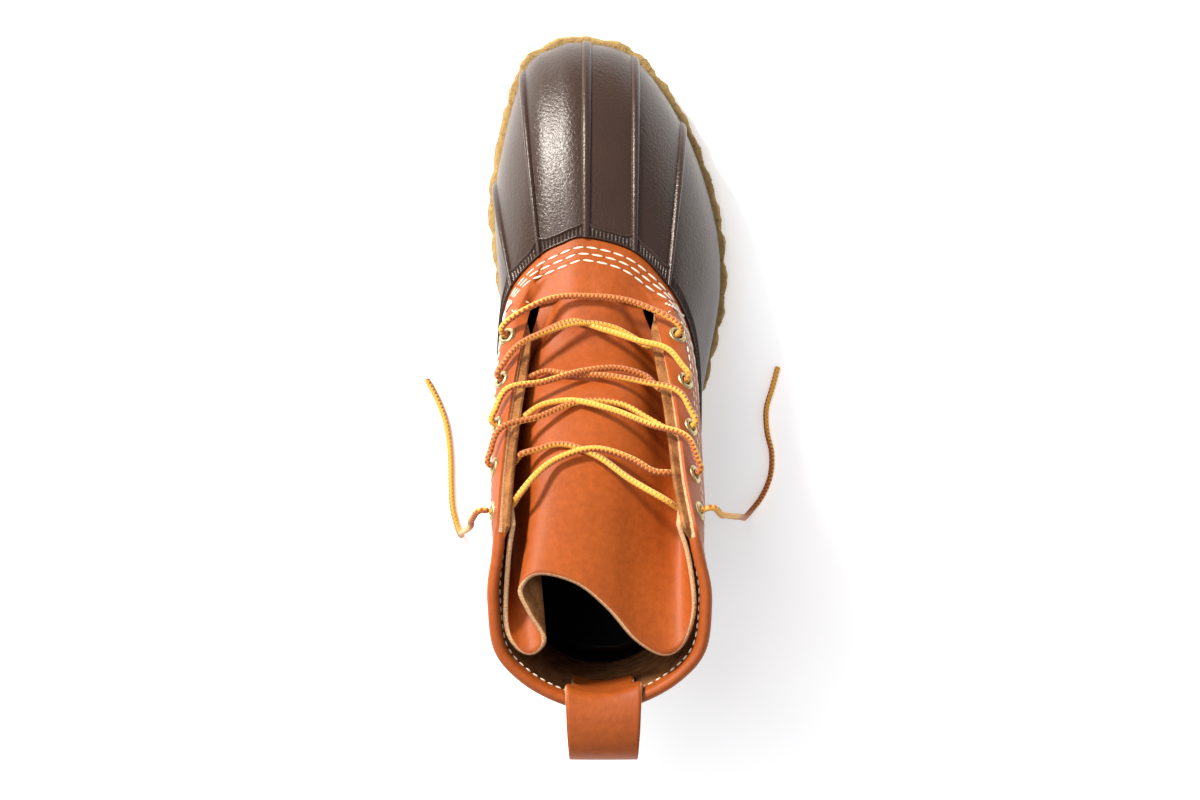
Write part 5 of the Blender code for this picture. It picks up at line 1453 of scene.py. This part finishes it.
class BOOT_OT_stitching(Operator):
    """Thread: rim rows, facing and collar rows, bar tacks and corner stitches"""

    bl_idname = "boot.stitching"
    bl_label = "Stitching"

    def execute(self, context):
        sizes = context.scene.boot_sizes
        pitch, length = sizes.stitch_pitch / MM, sizes.stitch_length / MM
        bm = bmesh.new()
        us = np.linspace(-10.0, 10.0, 1201)
        for row in range(sizes.stitch_rows):
            distance = sizes.first_row / MM + row * sizes.row_gap / MM
            stitch_row(bm, us, above_rim(us, distance), pitch, length, *RIM_STITCHES)
        finish_piece("thread_rim_rows", bm, ["thread"])

        bm = bmesh.new()
        for facing in (OUTER_FACING, INNER_FACING):
            _, whole = facing_walk(facing)
            along = np.linspace(FACING_SPAN[0], whole - FACING_SPAN[1], 90)
            for inset, stitches in FACING_ROWS:
                stitch_row(bm, *beside_facing(facing, along, inset), *stitches)
        for start, end in BAR_TACKS:
            u, w = (np.linspace(start[k], end[k], 30) for k in (0, 1))
            stitch_row(bm, u, w, *TACK_STITCHES)
        for u, w, turn in CORNER_STITCHES:
            angles = np.radians(turn + np.linspace(-100, 100, 24))
            ring = round_on_leather(u, w, CORNER_RADIUS, angles)
            stitch_row(bm, *ring, *ROUND_STITCHES)
        collar = np.linspace(OUTER_FACING[1] + 0.25, INNER_FACING[1] - 0.25, 400)
        rim = below_top(collar, COLLAR_ROW)
        stitch_row(bm, collar, rim, *COLLAR_STITCHES)
        shares = below_top(collar, INSIDE_ROW[0])
        inside = offset_point(leather_surface, collar, shares, INSIDE_ROW[1])
        normals = -surface_normal(leather_surface, collar, shares)
        lengths = lengths_along(inside)

        def read(values, place):
            return np.array([np.interp(place, lengths, values[:, axis]) for axis in range(3)])

        for k in range(int(lengths[-1] / COLLAR_PITCH)):
            start, middle, end = (k * COLLAR_PITCH + place for place in INSIDE_STITCH)
            add_stitch(bm, read(inside, start), read(inside, end), read(normals, middle),
                       *INSIDE_THREAD)
        finish_piece("thread_facings_collar", bm, ["thread"])
        return {"FINISHED"}


class BOOT_OT_eyelets(Operator):
    """Ten pressed eyelets with rolled rims"""

    bl_idname = "boot.eyelets"
    bl_label = "Eyelets"

    def execute(self, context):
        for side, facing in (("outer", OUTER_FACING), ("inner", INNER_FACING)):
            for row in range(EYELET_ROWS):
                centre, normal = eyelet_place(facing, row)
                bm = bmesh.new()
                verts = [bm.verts.new((r * MM, 0, z * MM)) for r, z in EYELET_PROFILE]
                edges = [bm.edges.new(pair) for pair in zip(verts, verts[1:] + verts[:1])]
                bmesh.ops.spin(bm, geom=verts + edges, cent=(0, 0, 0), axis=(0, 0, 1),
                               angle=2 * math.pi, steps=32, use_merge=True)
                bmesh.ops.remove_doubles(bm, verts=bm.verts, dist=1e-6)
                outward_faces(bm)
                turn = Vector(normal).to_track_quat("Z", "Y").to_matrix().to_4x4()
                bmesh.ops.transform(bm, verts=bm.verts,
                                    matrix=Matrix.Translation(framed(centre)) @ turn)
                finish_piece(f"eyelet_ring_{side}_{row + 1}", bm, ["brass"],
                             [f"eyelet_{side}_{row + 1}"])
        return {"FINISHED"}


class BOOT_OT_tongue(Operator):
    """Bellows tongue: smooth leather, flesh side inside, pale raw top edge"""

    bl_idname = "boot.tongue"
    bl_label = "Tongue"

    def execute(self, context):
        shares = np.linspace(0.0, 1.0, 181)
        alongs = np.linspace(0.0, 1.0, 91)
        points = tongue_columns(shares, alongs)
        bm = moved_grid(points, flip=True)
        finish_piece("bellows_tongue", bm, ["leather", "suede", "edge"], ["tongue"],
                     wall=(TONGUE_LEATHER, 0))
        return {"FINISHED"}


class BOOT_OT_pull_loop(Operator):
    """Pull loop: leather strap sewn inside the collar's back and down the outside"""

    bl_idname = "boot.pull_loop"
    bl_label = "Pull Loop"

    def execute(self, context):
        steps = np.linspace(-1.0, 1.0, 21)
        half = LOOP_THICKNESS / 2

        def on_wall(inset, depth):
            u = 10.0 - (LOOP_SIDE + LOOP_WIDTH / 2 * steps) / HEEL_STATION_WIDTH
            return offset_point(leather_surface, u, below_top(u, inset), depth)

        inside = -(LEATHER + WALL_CLEARANCE + half)
        sections = [
            on_wall(LOOP_DEPTH_INSIDE, inside),
            on_wall(LOOP_DEPTH_INSIDE * 0.6, inside - 0.6),
            on_wall(COLLAR_TURN_IN + 1.0, -(COLLAR_WALL + WALL_CLEARANCE + half)),
        ]
        back = top_line(10.0)
        for behind, up, width, bow in LOOP_ROWS:
            x = LOOP_SIDE + LOOP_WIDTH / 2 * width * steps
            sag = bow * WALL_BOW * (x / (LOOP_WIDTH / 2)) ** 2
            height = np.full_like(x, back[2] + up)
            sections.append(np.stack([x, back[1] - behind + sag, height], -1))
        outside = WALL_CLEARANCE + half
        sections += [on_wall(LOOP_DEPTH_OUTSIDE * share, outside) for share in (0.84, 1.0)]
        sections = np.array(sections)
        lengths = lengths_along(sections[:, 10])
        places = np.linspace(0, lengths[-1] - 1e-6, 120)
        columns = np.array([smooth_curve(lengths, sections[:, k])(places) for k in range(21)])
        bm = moved_grid(columns, flip=True)
        finish_piece("pull_loop_strap", bm, ["leather", "suede", "edge"],
                     ["pull_loop"], wall=(LOOP_THICKNESS, 0))
        return {"FINISHED"}


class BOOT_OT_insole(Operator):
    """Felt insole on the rubber's floor"""

    bl_idname = "boot.insole"
    bl_label = "Insole"

    def execute(self, context):
        u = np.linspace(0, STATIONS, 161)
        rows = []
        outline = sole_outline(u)
        spine_y = (outline[:, 1] + outline[::-1, 1]) / 2
        spine_y = np.clip(spine_y, 0.08 * BOOT_LENGTH, 0.88 * BOOT_LENGTH)
        spine = np.stack([np.zeros_like(spine_y), spine_y], -1)
        edge = outline - outward(u) * (SOLE_LEDGE + RUBBER_WALL + INSOLE_MARGIN)
        base = SEAT_GAP + RUBBER_WALL
        for part, lift in ((0.0, 0.3), (0.5, 0.3), (0.97, 0.3), (1.0, 0.9), (1.0, 3.0), (0.97, 3.6),
                           (0.7, 3.8), (0.35, 3.8), (0.0, 3.8)):
            xy = spine + (edge - spine) * part
            rows.append(flat(xy, sole_top(xy[:, 1]) + base + lift))
        bm = moved_grid(np.array(rows).transpose(1, 0, 2))
        outward_faces(bm)
        finish_piece("felt_insole", bm, ["felt"], ["insole"])
        return {"FINISHED"}


class VIEW3D_PT_boot(Panel):
    """Lists the boot's pieces, sizes and colours"""

    bl_idname = "VIEW3D_PT_boot"
    bl_label = "Duck Boot"
    bl_space_type = "VIEW_3D"
    bl_region_type = "UI"
    bl_category = "Duck Boot"

    def draw(self, context):
        column = self.layout.column()
        for operator in OPERATORS:
            column.operator(operator.bl_idname)
        for group in (context.scene.boot_sizes, context.scene.boot_colours):
            for name in group.bl_rna.properties.keys():
                if name not in ("rna_type", "name"):
                    column.prop(group, name)


OPERATORS = (
    BOOT_OT_stage, BOOT_OT_lace, BOOT_OT_outsole, BOOT_OT_rubber_bottom, BOOT_OT_insole,
    BOOT_OT_upper, BOOT_OT_stitching, BOOT_OT_eyelets, BOOT_OT_tongue, BOOT_OT_pull_loop,
)
CLASSES = (BootSizes, BootColours) + OPERATORS + (VIEW3D_PT_boot,)


def register():
    for cls in CLASSES:
        bpy.utils.register_class(cls)
    bpy.types.Scene.boot_sizes = PointerProperty(type=BootSizes)
    bpy.types.Scene.boot_colours = PointerProperty(type=BootColours)


def unregister():
    del bpy.types.Scene.boot_colours
    del bpy.types.Scene.boot_sizes
    for cls in reversed(CLASSES):
        bpy.utils.unregister_class(cls)


def main():
    register()
    for operator in OPERATORS:
        group, name = operator.bl_idname.split(".")
        getattr(getattr(bpy.ops, group), name)()


if __name__ == "__main__":
    main()
